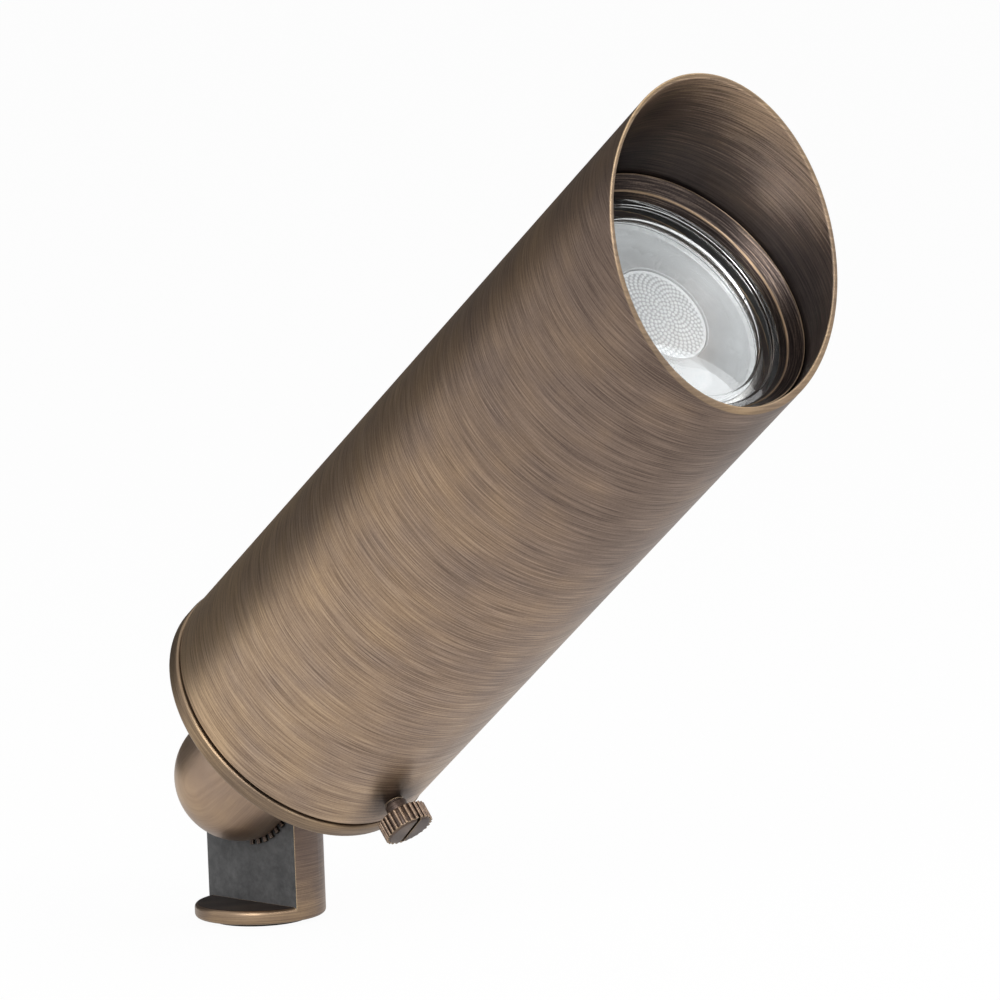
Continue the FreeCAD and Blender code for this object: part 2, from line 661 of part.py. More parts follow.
# ---------------------------------------------------------------- housing
def make_housing():
    """Sealed tube with a step for the socket plate and a threaded neck for the lens ring."""
    hood_low = flange_front + size.hood_groove_inset - (hood_seal + size.groove_slack) / 2
    hood_high = hood_low + hood_seal + size.groove_slack
    hood_floor = housing_radius - size.hood_groove_depth
    ring_low = neck_rear + size.ring_groove_inset
    ring_high = ring_low + ring_seal + size.groove_slack
    ring_floor = neck_radius - size.ring_groove_depth
    body = turned("housing", [
        (plate_bore, flange_front), (housing_radius, flange_front),
        (housing_radius, hood_low), (hood_floor, hood_low),
        (hood_floor, hood_high), (housing_radius, hood_high),
        (housing_radius, neck_rear), (neck_radius, neck_rear),
        (neck_radius, ring_low), (ring_floor, ring_low),
        (ring_floor, ring_high), (neck_radius, ring_high),
        (neck_radius, size.housing_front), (lamp_bore, size.housing_front),
        (lamp_bore, plate_rear), (plate_bore, plate_rear)])
    for low in (plate_front, lamp_rim_rear - size.snap_thickness):
        groove = draw(body, "XZ_Plane", ring_outline(
            lamp_bore - size.snap_depth, lamp_bore + size.snap_depth,
            low - size.snap_play, low + size.snap_thickness + size.snap_play))
        turn(body, "Groove", groove, "V_Axis")
    put_in_head(body)


def make_seals():
    """Round rings for the housing's thread, the lens ring and the hood."""
    collar_middle = collar_radius - size.collar_groove_depth + size.seal_play + housing_seal / 2
    collar_level = size.collar_groove_inset + (size.collar_groove_depth + size.groove_slack) / 2
    rubber_ring("housing_seal", collar_middle, housing_seal, flange_front + collar_level)
    ring_middle = neck_radius - size.ring_groove_depth + size.seal_play + ring_seal / 2
    ring_level = size.ring_groove_inset + (ring_seal + size.groove_slack) / 2
    rubber_ring("ring_seal", ring_middle, ring_seal, neck_rear + ring_level)
    hood_middle = housing_radius - size.hood_groove_depth + size.seal_play + hood_seal / 2
    rubber_ring("hood_seal", hood_middle, hood_seal, flange_front + size.hood_groove_inset)


def snap_ring(label, low):
    """An open spring ring in the lamp bore."""
    outer = lamp_bore + size.snap_depth - size.snap_play
    body = turned(label, ring_outline(outer - size.snap_wall, outer, low, low + size.snap_thickness))
    half_mouth = size.snap_mouth / 2
    box(body, "Subtractive", (outer / 2, -half_mouth, low - size.snap_thickness),
        (outer + size.snap_wall, half_mouth, low + size.snap_thickness * 2))
    put_in_head(body)


# ---------------------------------------------------------------- socket and leads
def make_socket_plate():
    """Disc that carries the socket and lets its screws and leads through."""
    radius = lamp_bore - size.plate_play
    body = turned("socket_plate", [
        (ORIGIN, plate_rear), (radius, plate_rear), (radius, plate_front), (ORIGIN, plate_front)])
    for side in (1, -1):
        cylinder(body, "Subtractive", size.screw_radius + size.lead_play, size.plate_thickness,
                 (screw_offset * side, ORIGIN, plate_rear))
        cylinder(body, "Subtractive", lead_hole, size.plate_thickness,
                 (pin_offset * side, ORIGIN, plate_rear))
    put_in_head(body)


def make_socket():
    """Ceramic block with two pin holes that narrow to the leads, and two screw holes."""
    body = new_body("lamp_socket")
    box(body, "Additive", (-size.socket_length / 2, -size.socket_width / 2, plate_front),
        (size.socket_length / 2, size.socket_width / 2, socket_front))
    contact_hole = size.pin_radius + size.pin_play + size.contact_wall + size.seal_play
    for side in (1, -1):
        across = pin_offset * side
        cylinder(body, "Subtractive", contact_hole, size.contact_length,
                 (across, ORIGIN, contact_rear))
        cylinder(body, "Subtractive", lead_hole, size.socket_height - size.contact_length,
                 (across, ORIGIN, plate_front))
        cylinder(body, "Subtractive", size.screw_radius + size.thread_clearance,
                 size.screw_grip + size.thread_end,
                 (screw_offset * side, ORIGIN, plate_front))
    put_in_head(body)


def make_socket_hardware():
    """Spring contacts in the socket, and the screws behind its plate."""
    inner = size.pin_radius + size.pin_play
    outer = inner + size.contact_wall
    contacts = []
    screws = []
    for side in (1, -1):
        spot = FreeCAD.Vector(pin_offset.value * side, 0, contact_rear.value)
        sleeve = Part.makeCylinder(outer.value, size.contact_length.value, spot)
        contacts.append(sleeve.cut(Part.makeCylinder(inner.value, size.contact_length.value, spot)))
        across = screw_offset.value * side
        head = FreeCAD.Vector(across, 0, plate_rear.value - size.screw_head_height.value)
        shank = FreeCAD.Vector(across, 0, plate_rear.value)
        shank_length = size.plate_thickness.value + size.screw_grip.value
        screw = Part.makeCylinder(size.screw_head_radius.value, size.screw_head_height.value, head)
        screws.append(screw.fuse(Part.makeCylinder(size.screw_radius.value, shank_length, shank)))
    group("socket_contacts", contacts)
    group("socket_screws", screws)


def lead_path(side):
    """Corners of a lead from the plug to the socket, bowed out from the axis."""
    near = lead_offset.value * side
    bow = size.lead_bow.value * side
    far = pin_offset.value * side
    start = plug_rear.value
    end = contact_rear.value
    first = spigot_end.value + size.plug_head_thickness.value + size.lead_straight.value
    last = plate_rear.value - size.lead_straight.value
    third = (last - first) / 3
    heights = (start, first, first + third, last - third, last, end)
    across = (near, near, bow, bow, far, far)
    return [FreeCAD.Vector(x, 0, z) for x, z in zip(across, heights)]


def make_leads():
    """Two insulated leads, each straight runs joined by arcs."""
    for label, side in (("lead_right", 1), ("lead_left", -1)):
        corners = lead_path(side)
        edges = []
        here = corners[0]
        for before, corner, after in zip(corners, corners[1:], corners[2:]):
            inward = before - corner
            outward = after - corner
            half_turn = (math.pi - inward.getAngle(outward)) / 2
            reach = 0.45 * min(inward.Length, outward.Length)
            radius = reach / math.tan(half_turn)
            inward.normalize()
            outward.normalize()
            arc_start = corner + inward * reach
            arc_end = corner + outward * reach
            middle_way = (inward + outward).normalize()
            middle = corner + middle_way * (radius / math.cos(half_turn) - radius)
            edges.append(Part.LineSegment(here, arc_start).toShape())
            edges.append(Part.Arc(arc_start, middle, arc_end).toShape())
            print("%s bend radius %.1f" % (label, radius))
            here = arc_end
        edges.append(Part.LineSegment(here, corners[-1]).toShape())
        path = Part.Wire(edges)
        section = Part.Wire(Part.Circle(corners[0], ROW_Z, size.lead_radius.value).toShape())
        tube = path.makePipeShell([section], True, False)
        feature = doc.addObject("Part::Feature", label)
        feature.Label = label
        feature.Shape = tube
        parts.append(feature)
        put_in_head(feature)


# ---------------------------------------------------------------- lamp
def make_lamp():
    """Reflector bowl, clear cover, dimpled centre lens, base and pins."""
    rim = size.lamp_radius
    cover_radius = rim - size.lamp_wall
    cover_rear = lamp_front - size.cover_thickness
    root = size.lamp_root_radius
    inner_root = root - size.lamp_wall
    inner_bend = size.lamp_bowl_bend - size.lamp_wall
    put_in_head(turned("lamp_reflector", [
        (ORIGIN, lamp_root), (root, lamp_root), Bend(size.lamp_bowl_bend, True),
        (rim - size.lamp_wall, lamp_rim_rear), (rim, lamp_rim_rear), (rim, lamp_front),
        (cover_radius, lamp_front), (cover_radius, cover_rear),
        (cover_radius - size.lamp_wall, cover_rear), Bend(inner_bend, False),
        (inner_root, lamp_root + size.lamp_wall), (ORIGIN, lamp_root + size.lamp_wall)]))
    clear = cover_radius - size.cover_play
    hole = size.optic_radius + size.cover_play
    put_in_head(turned("lamp_cover", ring_outline(hole, clear, cover_rear, lamp_front)))
    optic_rear = lamp_front - size.optic_height
    stem = size.optic_radius - size.lamp_wall
    put_in_head(turned("lamp_optic", [
        (ORIGIN, optic_rear), (stem, optic_rear), (size.optic_radius, cover_rear),
        (size.optic_radius, lamp_front), (ORIGIN, lamp_front)]))
    put_in_head(turned("lamp_chip", [
        (ORIGIN, lamp_root + size.lamp_wall), (inner_root, lamp_root + size.lamp_wall),
        (stem, optic_rear), (ORIGIN, optic_rear)]))
    body = new_body("lamp_base")
    box(body, "Additive", (-size.lamp_base_length / 2, -size.lamp_base_width / 2, lamp_base_rear),
        (size.lamp_base_length / 2, size.lamp_base_width / 2, lamp_root))
    put_in_head(body)
    pins = []
    for side in (1, -1):
        spot = FreeCAD.Vector(pin_offset.value * side, 0, lamp_base_rear.value - size.pin_length.value)
        pins.append(Part.makeCylinder(size.pin_radius.value, size.pin_length.value, spot))
    group("lamp_pins", pins)


# ---------------------------------------------------------------- lens
def make_lens():
    """Flat gasket and a glass whose front steps down towards its middle."""
    put_in_head(turned("lens_gasket", ring_outline(
        lamp_bore, lens_radius, size.housing_front, lens_rear)))
    first_step = lens_front - size.lens_step_drop
    second_step = first_step - size.lens_step_drop
    outer = ring_lip - size.lens_step_inset
    inner = outer - size.lens_step_width
    put_in_head(turned("glass_lens", [
        (ORIGIN, lens_rear), (lens_radius, lens_rear), (lens_radius, lens_front),
        (outer, lens_front), (outer, first_step), (inner, first_step), (inner, second_step),
        (ORIGIN, second_step)]))


def make_lens_ring():
    """Threaded cap with a two-slope mouth."""
    glass_hole = lens_radius + size.ring_play
    line = lens_front + size.ring_line_height
    rear = neck_rear + size.ring_rear_gap
    body = turned("lens_ring", [
        (ring_bore, rear), (ring_radius, rear), (ring_radius, ring_front),
        (ring_radius - size.ring_edge, ring_front), (ring_lip + size.ring_line_width, line),
        (ring_lip, lens_front), (glass_hole, lens_front),
        (glass_hole, size.housing_front), (ring_bore, size.housing_front)])
    put_in_head(body)


# ---------------------------------------------------------------- hood
def make_hood():
    """Round tube whose mouth slopes from a long top to a short bottom."""
    body = turned("hood", ring_outline(hood_bore, hood_radius, hood_rear, mouth_top))
    beyond = hood_radius * 2
    cut_through(body, "XZ_Plane", [
        (-hood_radius, mouth_top), (hood_radius, mouth_bottom), (beyond, mouth_bottom),
        (beyond, mouth_top + beyond), (-hood_radius, mouth_top + beyond)])
    cylinder(body, "Subtractive", size.thumb_thread_radius + size.thread_clearance, beyond,
             (ORIGIN, ORIGIN, thumb_axis), ROW_X)
    put_in_head(body)


def make_thumbscrew():
    """Fluted, slotted screw and the soft pad on its tip."""
    body = new_body("thumbscrew")
    axis = thumb_axis
    rim = axis + size.thumb_radius
    bevel = size.thumb_chamfer
    neck_start = hood_radius + size.thread_clearance + size.thumb_travel
    sketch = draw(body, "XZ_Plane", [
        (pad_top, axis), (pad_top, axis + size.thumb_thread_radius),
        (neck_start, axis + size.thumb_thread_radius), (neck_start, axis + size.thumb_neck_radius),
        (thumb_seat, axis + size.thumb_neck_radius), (thumb_seat, rim - bevel),
        (thumb_seat + bevel, rim), (thumb_top - bevel, rim), (thumb_top, rim - bevel),
        (thumb_top, axis)])
    centre_line = add_axis(sketch, axis)
    turn(body, "Revolution", sketch, centre_line)
    half_slot = size.slot_width / 2
    box(body, "Subtractive", (thumb_top - size.slot_depth, -size.thumb_radius, axis - half_slot),
        (thumb_top + size.slot_depth, size.thumb_radius, axis + half_slot))
    flute = cylinder(body, "Subtractive", size.flute_radius, size.thumb_height,
                     (thumb_seat, ORIGIN, rim + size.flute_radius - size.flute_depth), ROW_X)
    pattern = body.newObject("PartDesign::PolarPattern", "thumbscrew_flutes")
    pattern.Originals = [flute]
    pattern.Axis = (sketch, [centre_line])
    pattern.Angle = FULL_TURN
    pattern.setExpression("Occurrences", size.flute_count.formula)
    body.Tip = pattern
    put_in_head(body)
    pad = new_body("thumbscrew_pad")
    cylinder(pad, "Additive", size.thumb_pad_radius, size.thumb_pad_height,
             (pad_tip, ORIGIN, axis), ROW_X)
    put_in_head(pad)


def check_and_write():
    """Recompute, look at every object and write one file for each piece."""
    doc.recompute()
    for item in doc.Objects:
        if "Invalid" in item.State or "Error" in item.State:
            raise RuntimeError("%s did not compute: %s" % (item.Name, item.State))
    for part in parts:
        if part.Shape.isNull() or not part.Shape.isValid():
            raise RuntimeError("%s has no valid shape" % part.Label)
    os.makedirs("parts", exist_ok=True)
    for part in parts:
        part.Shape.exportStep("parts/%s.step" % part.Label)
        print("%-18s %2d solid %10.2f mm3" % (part.Label, len(part.Shape.Solids), part.Shape.Volume))


make_knuckle_lower()
make_foot_gasket()
make_pivot_fasteners()
make_knuckle_upper()
make_base_plate()
make_knuckle_fasteners()
make_housing()
make_seals()
snap_ring("socket_ring", plate_front)
snap_ring("lamp_clip", lamp_rim_rear - size.snap_thickness)
make_socket_plate()
make_socket()
make_socket_hardware()
make_leads()
make_lamp()
make_lens()
make_lens_ring()
make_hood()
make_thumbscrew()
check_and_write()
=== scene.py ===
# %% [markdown]
# # A tilting brass garden spotlight
#
# The real object is a long brass hood over a sealed lamp housing, carried by a half-lap knuckle
# on a small threaded foot. Its shape is already settled as a set of solids, one for each piece,
# so this lesson is about the looks: finishes for the solids that stay, and finer pieces for the
# ones whose edges, teeth or glass need more than a plain solid.

# %% Load the solids
import json
import math
import bmesh
import bpy
from mathutils import Matrix, Vector

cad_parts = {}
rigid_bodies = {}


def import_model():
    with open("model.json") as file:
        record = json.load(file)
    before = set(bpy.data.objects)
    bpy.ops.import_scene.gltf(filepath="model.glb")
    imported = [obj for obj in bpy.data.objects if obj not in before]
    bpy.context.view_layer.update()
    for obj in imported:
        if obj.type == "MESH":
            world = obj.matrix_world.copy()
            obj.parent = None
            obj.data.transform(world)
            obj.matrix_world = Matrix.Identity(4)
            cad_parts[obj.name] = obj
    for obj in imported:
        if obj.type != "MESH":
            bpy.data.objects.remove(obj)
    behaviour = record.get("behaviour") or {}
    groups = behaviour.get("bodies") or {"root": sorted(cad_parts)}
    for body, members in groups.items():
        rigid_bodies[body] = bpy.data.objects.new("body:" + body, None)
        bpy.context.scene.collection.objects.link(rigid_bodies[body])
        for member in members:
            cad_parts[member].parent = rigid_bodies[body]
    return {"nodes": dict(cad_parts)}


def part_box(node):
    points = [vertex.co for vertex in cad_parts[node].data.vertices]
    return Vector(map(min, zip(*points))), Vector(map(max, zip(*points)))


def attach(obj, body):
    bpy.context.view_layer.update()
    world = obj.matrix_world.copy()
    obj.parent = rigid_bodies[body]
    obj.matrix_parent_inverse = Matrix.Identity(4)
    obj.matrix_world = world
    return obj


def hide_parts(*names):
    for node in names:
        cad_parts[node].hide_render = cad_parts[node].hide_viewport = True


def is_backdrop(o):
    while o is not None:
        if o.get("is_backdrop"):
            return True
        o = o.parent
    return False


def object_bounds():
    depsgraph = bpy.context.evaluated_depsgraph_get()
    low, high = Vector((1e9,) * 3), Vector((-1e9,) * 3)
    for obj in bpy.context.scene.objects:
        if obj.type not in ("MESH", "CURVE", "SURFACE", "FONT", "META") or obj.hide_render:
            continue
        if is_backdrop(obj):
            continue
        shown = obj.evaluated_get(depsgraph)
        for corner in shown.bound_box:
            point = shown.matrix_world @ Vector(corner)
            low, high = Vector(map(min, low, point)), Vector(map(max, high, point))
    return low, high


for leftover in list(bpy.data.objects):
    bpy.data.objects.remove(leftover)
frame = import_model()
nodes = frame["nodes"]
cad_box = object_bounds()
print("solids", len(nodes), "box in mm",
      [round(side * 1000, 1) for side in cad_box[1] - cad_box[0]])

# %% [markdown]
# ## Places to work in
#
# The foot stands upright, and the head leans at 38.6 degrees about a pivot above it. A turned
# piece is easiest to draw about its own axis, in millimetres, so each of the four turning axes
# gets a matrix that carries a point from there to its place in metres. The same matrices tell
# the finishes which way a piece was brushed on the lathe.

# %% Matrices for the foot, the head, the pivot and the thumbscrew
millimetre = 0.001
tilt = math.radians(38.6)
lean = math.pi / 2 - tilt
quarter_turn = math.pi / 2
pivot = Vector((0.0, -4.4, 31.7)) * millimetre
thumb_height = 37.6
foot_place = Matrix.Scale(millimetre, 4)
head_place = Matrix.Translation(pivot) @ Matrix.Rotation(lean, 4, "Y") @ foot_place
pivot_place = Matrix.Translation(pivot) @ Matrix.Rotation(-quarter_turn, 4, "X") @ foot_place
thumb_place = (head_place @ Matrix.Translation((0, 0, thumb_height))
               @ Matrix.Rotation(quarter_turn, 4, "Y"))
glass_front = 176.3
print("glass centre at", [round(c * 1000, 1) for c in head_place @ Vector((0, 0, glass_front))])

# %% [markdown]
# ## Camera
#
# A product photograph is taken from far off with a long lens, which keeps the hood's sides nearly
# parallel. The camera here stands 1.6 m away, 46 degrees round to the right and 7 degrees up, and
# is rolled by 2 degrees. It could be aimed with a Track To constraint, but its place is exact when
# its three axes are written down and put in one matrix.

# %% Aim the camera
def put_in_scene(name, data):
    thing = bpy.data.objects.new(name, data)
    bpy.context.scene.collection.objects.link(thing)
    return thing


turn_round, look_down, roll = math.radians(46.033), math.radians(6.932), math.radians(-2.099)
picture_width, focal_pixels, foot_pixel = 1000, 7096.12, (260.704, 913.816)
depth = 1.56849
level = Vector((math.cos(turn_round), math.sin(turn_round), 0))
toward = Vector((math.sin(turn_round) * math.cos(look_down),
                 -math.cos(turn_round) * math.cos(look_down), math.sin(look_down)))
upright = toward.cross(level)
across = math.cos(roll) * level + math.sin(roll) * upright
upward = -math.sin(roll) * level + math.cos(roll) * upright
offset = [(pixel - picture_width / 2) / focal_pixels * depth for pixel in foot_pixel]
eye = -across * offset[0] + upward * offset[1] + toward * depth
axes = Matrix((across, upward, toward)).transposed().to_4x4()
camera = put_in_scene("camera", bpy.data.cameras.new("camera"))
camera.data.lens = focal_pixels / picture_width * camera.data.sensor_width
camera.data.clip_start, camera.data.clip_end = 0.05, 60.0
camera.matrix_world = Matrix.Translation(eye) @ axes
bpy.context.scene.camera = camera
print("camera at", [round(c, 3) for c in eye], "lens", round(camera.data.lens, 1), "mm")

# %% [markdown]
# ## Writing node trees as sums
#
# A finish or a modifier tree is a net of nodes, and wiring it line by line hides the idea. Here a
# small class wraps a socket, so that `1 - mask` or `grain * 0.3 + haze` adds its own Math nodes,
# and one method adds every other node from its type, its settings and its sockets. The same two
# classes serve shader trees and geometry trees. One node needs a word: Mix keeps its sockets for
# numbers, vectors and colours side by side, and the colours are 6 and 7 on the way in and 2 on the
# way out.

# %% A socket that can be added and multiplied
class Reading:
    def __init__(self, net, socket):
        self.net, self.socket = net, socket

    def also(self, name):
        return Reading(self.net, self.socket.node.outputs[name])

    def __add__(self, other):
        return self.net.maths("ADD", self, other)

    def __radd__(self, other):
        return self.net.maths("ADD", other, self)

    def __sub__(self, other):
        return self.net.maths("SUBTRACT", self, other)

    def __rsub__(self, other):
        return self.net.maths("SUBTRACT", other, self)

    def __mul__(self, other):
        return self.net.maths("MULTIPLY", self, other)

    def __rmul__(self, other):
        return self.net.maths("MULTIPLY", other, self)

    def __truediv__(self, other):
        return self.net.maths("DIVIDE", self, other)

    def __rtruediv__(self, other):
        return self.net.maths("DIVIDE", other, self)

    def __pow__(self, other):
        return self.net.maths("POWER", self, other)

    def __rpow__(self, other):
        return self.net.maths("POWER", other, self)

    def kept(self):
        return self.net.maths("ADD", self, 0.0, clamp=True)


print("reflected forms", [name for name in vars(Reading) if name.startswith("__r")])


# %% A net of nodes
class Net:
    def __init__(self, tree):
        self.tree = tree

    def add(self, kind, settings=None, sockets=None, out=0):
        node = self.tree.nodes.new(kind)
        for name, value in (settings or {}).items():
            if name == "stops":
                self.set_stops(node.color_ramp.elements, value)
            else:
                setattr(node, name, value)
        for name, value in (sockets or {}).items():
            if isinstance(value, Reading):
                self.tree.links.new(value.socket, node.inputs[name])
            else:
                node.inputs[name].default_value = value
        return Reading(self, node.outputs[out]) if node.outputs else node

    def maths(self, operation, first, second, clamp=False):
        settings = {"operation": operation, "use_clamp": clamp}
        return self.add("ShaderNodeMath", settings, {0: first, 1: second})

    def set_stops(self, elements, stops):
        while len(elements) < len(stops):
            elements.new(0.5)
        for element, (place, colour) in zip(elements, stops):
            element.position, element.color = place, colour


# %% Shader helpers that every finish shares
class Finish(Net):
    def __init__(self, name):
        self.material = bpy.data.materials.new(name)
        self.material.use_nodes = True
        super().__init__(self.material.node_tree)
        self.tree.nodes.clear()

    def place(self, matrix):
        where, turned, size = matrix.decompose()
        coordinates = self.add("ShaderNodeTexCoord").also("Object")
        return self.add("ShaderNodeMapping", {"vector_type": "TEXTURE"}, {
            "Vector": coordinates, "Location": where, "Rotation": turned.to_euler(), "Scale": size})

    def stretched(self, point, factors, shift=(0.0, 0.0, 0.0)):
        return self.add("ShaderNodeVectorMath", {"operation": "MULTIPLY_ADD"}, {
            0: point, 1: factors, 2: shift})

    def tipped(self, point, degrees):
        return self.add("ShaderNodeMapping", {}, {
            "Vector": point, "Rotation": [math.radians(angle) for angle in degrees]})

    def distance(self, first, second):
        return self.add("ShaderNodeVectorMath", {"operation": "DISTANCE"}, {
            0: first, 1: second}, out=1)

    def noise(self, point, scale=1.0, detail=2.0, roughness=0.5):
        return self.add("ShaderNodeTexNoise", {}, {
            "Vector": point, "Scale": scale, "Detail": detail, "Roughness": roughness})

    def mixed(self, factor, first, second, blend="MIX"):
        return self.add("ShaderNodeMix", {"data_type": "RGBA", "blend_type": blend}, {
            0: factor, 6: first, 7: second}, out=2)

    def ramp(self, factor, stops):
        return self.add("ShaderNodeValToRGB", {"stops": stops}, {0: factor})

    def bump(self, strength, depth, height, **normal):
        return self.add("ShaderNodeBump", {}, {
            "Strength": strength, "Distance": depth * millimetre, "Height": height, **normal})

    def surface(self, shader):
        self.add("ShaderNodeOutputMaterial", {}, {"Surface": shader})
        return self.material

    def solid_surface(self, sockets):
        return self.surface(self.add("ShaderNodeBsdfPrincipled", {}, sockets))


def grey(level):
    return (level, level, level, 1.0)


print("wrappers ready")

# %% [markdown]
# ## The finish of aged brass
#
# Yellow brass is brushed on a lathe, stained brown, and then rubbed back, so the scratches stay
# dark in some places and bare in others. Seen close, the colour is thousands of fine lines, each
# less than half a millimetre wide, that run round the piece and cross each other at a few
# degrees. A noise that is stretched along the turning direction gives such lines, and two layers
# tipped against each other give the crossing. Under them lies the stain, which is golden where it
# was rubbed thin and a violet grey where it is thick. Where a neighbour shades the brass, a patch
# paints that shade into the colour, and the edges are rubbed bright: a Bevel node finds them,
# because its softened normal leaves the true one only there.
#
# Light does not fall evenly over a piece, and some of its shade and sheen is painted into the
# colour. A fade, given as a slope and the height where it starts, makes the colour lighter or
# darker along the axis, a second slope does so from one side to the other, and a patch, given as a
# spot, a reach and a change, does so in one place: painted shade where it darkens, a painted sheen
# where it lightens.

# %% Brushed lines and rubbed edges
line_length, line_count = 0.085, 4.2
line_tip, crossing_tip, crossing_shift = (0.8, 1.8, 0), (-2.5, -4.2, 0), (7, 3, 5)
line_weight, crossing_weight, speck_weight = 3.2, 1.3, 0.7
edge_gain = 9.0


def brushed(finish, place, length=line_length, count=line_count):
    point = finish.place(place)
    speck = finish.noise(point, 2.6, 1.0)
    lines = finish.noise(finish.stretched(
        finish.tipped(point, line_tip), (length, length, count)), 1.0, 1.0)
    crossing = finish.noise(finish.stretched(
        finish.tipped(point, crossing_tip), (length * 0.8, length * 0.8, count * 0.9),
        crossing_shift), 1.0, 1.0)
    return point, ((lines - 0.5) * line_weight + (crossing - 0.5) * crossing_weight
                   + (speck - 0.5) * speck_weight)


def rubbed_edges(finish, width):
    softened = finish.add("ShaderNodeBevel", {"samples": 6}, {"Radius": width * millimetre})
    true = finish.add("ShaderNodeNewGeometry").also("Normal")
    match = finish.add("ShaderNodeVectorMath", {"operation": "DOT_PRODUCT"}, {
        0: softened, 1: true}, out=1)
    return softened, ((1.0 - match) * edge_gain).kept()


print("one line in", round(1 / line_count, 2), "mm; an edge is bare where its normal turns by",
      round(math.degrees(math.acos(1 - 1 / edge_gain))), "degrees")

# %% Aged brass
# Limits of the fade, which paints shade and light along a piece: its darkest painted shade and its
# lightest painted light.
darkest_painted_shade, lightest_painted_light = -0.5, 0.4
cool_tint, warm_tint = (0.93, 0.93, 1.05, 1), (1.09, 1.01, 0.91, 1)


# A patch darkens or lightens the colour round a spot: painted shade or a painted sheen.
def with_painted_patches(finish, point, level, painted_patches):
    for spot, reach, change in painted_patches:
        level = level + (1.0 - finish.distance(point, spot) / reach).kept() ** 1.5 * change
    return level.kept()


def aged_brass(name, place, stops, edge=(0.62, 0.46, 0.27, 1), wear=0.7, rough=0.43, relief=0.2,
               width=0.45, metallic=0.92, contrast=0.34, fade=(0.0, 100.0), side=0.0, painted_patches=()):
    finish = Finish(name)
    point, grain = brushed(finish, place)
    bands = finish.noise(finish.stretched(point, (0.03, 0.03, 0.3)), 1.0, 1.0) - 0.5
    clouds = finish.noise(point, 0.055, 3.0, 0.55) - 0.5
    split = finish.add("ShaderNodeSeparateXYZ", {}, {0: point})
    # Painted shade: the fade makes the colour darker or lighter along the axis, and the side does
    # so from one side of the piece to the other.
    slope, start = fade
    along = finish.maths("MINIMUM", (start - split.also("Z")) * slope, lightest_painted_light)
    along = finish.maths("MAXIMUM", along, darkest_painted_shade)
    round_side = split.also("X") * side
    scratches = grain * contrast * (1.0 + along * 0.9)
    level = 0.5 + scratches + bands * 0.16 + clouds * 0.4 + along + round_side
    level = with_painted_patches(finish, point, level, painted_patches)
    # The tint follows the clouds and bands, and also the painted fade and side, so painted light is
    # warmer and painted shade cooler.
    warmth = 0.5 + clouds * 1.8 + bands * 0.5 + along * 1.4 + round_side * 4.0
    tint = finish.mixed(warmth.kept(), cool_tint, warm_tint)
    stained = finish.mixed(1.0, finish.ramp(level, stops), tint, "MULTIPLY")
    softened, edges = rubbed_edges(finish, width)
    worn = edges * wear * (0.75 + clouds * 1.4).kept()
    return finish.solid_surface({
        "Base Color": finish.mixed(worn, stained, edge), "Metallic": metallic,
        "Roughness": rough - level * 0.1,
        "Normal": finish.bump(relief, 0.03, grain, Normal=softened)})


def stain(thick, middle, thin):
    return [(place, (*colour, 1)) for place, colour in zip((0.0, 0.5, 1.0), (thick, middle, thin))]


# %% The stains, from thick to rubbed thin
hood_stain = stain((0.116, 0.082, 0.058), (0.294, 0.215, 0.148), (0.515, 0.395, 0.275))
deep_stain = stain((0.010, 0.007, 0.006), (0.090, 0.064, 0.048), (0.360, 0.270, 0.200))
dark_stain = stain((0.022, 0.017, 0.015), (0.095, 0.073, 0.062), (0.270, 0.205, 0.155))
rim_stain = stain((0.090, 0.066, 0.047), (0.230, 0.170, 0.112), (0.460, 0.350, 0.225))
ball_stain = stain((0.150, 0.108, 0.078), (0.370, 0.275, 0.195), (0.560, 0.430, 0.300))
foot_stain = stain((0.045, 0.034, 0.030), (0.160, 0.118, 0.092), (0.460, 0.350, 0.240))
ridge_stain = stain((0.070, 0.050, 0.040), (0.200, 0.150, 0.112), (0.420, 0.320, 0.225))
ring_stain = stain((0.012, 0.009, 0.008), (0.050, 0.040, 0.036), (0.190, 0.150, 0.120))
print("stops in a stain", len(hood_stain))

# %% The brass of each part
hood_outer = 31.75
# Painted shade round the thumbscrew's neck: a patch darkens the hood there.
painted_shade_by_thumbscrew = ((hood_outer, 0.0, thumb_height), 11.0, -1.3)
# Painted shade under the long side of the lip, inside the hood, and a painted sheen on the far
# inside wall.
painted_shade_inside_long_side = ((-31.0, -4.0, 203.0), 26.0, -0.4)
painted_sheen_inside_far_side = ((-13.0, 27.3, 194.0), 17.0, 0.5)
# The hood's fade and side paint shade: darker toward the mouth and the underside, lighter toward
# the rear and the top.
head_brass_and_painted_shade = aged_brass("aged_brass_head", head_place, hood_stain, fade=(0.0036, 105.0),
                        relief=0.3, side=-0.0025, painted_patches=[painted_shade_by_thumbscrew])
# Inside the hood the fade paints shade deep by the lens ring, and the colour grows lighter toward
# the lip.
inside_brass_and_painted_shade = aged_brass("aged_brass_inside", head_place, deep_stain, contrast=0.28,
                          metallic=0.5, fade=(-0.028, 196.0),
                          painted_patches=[painted_sheen_inside_far_side, painted_shade_inside_long_side])
rim_brass = aged_brass("aged_brass_rim", head_place, rim_stain, contrast=0.2, wear=0.9)
flange_brass = aged_brass("aged_brass_flange", head_place, rim_stain, contrast=0.25, wear=1.0,
                          width=0.6)
housing_brass = aged_brass("aged_brass_housing", head_place, dark_stain, contrast=0.25)
# The foot's fade paints shade: the colour darkens toward the top of the column, under the knuckle,
# and lightens toward the disc.
foot_brass_and_painted_shade = aged_brass("aged_brass_foot", foot_place, foot_stain, contrast=0.14, wear=1.0,
                        fade=(0.014, 14.0))
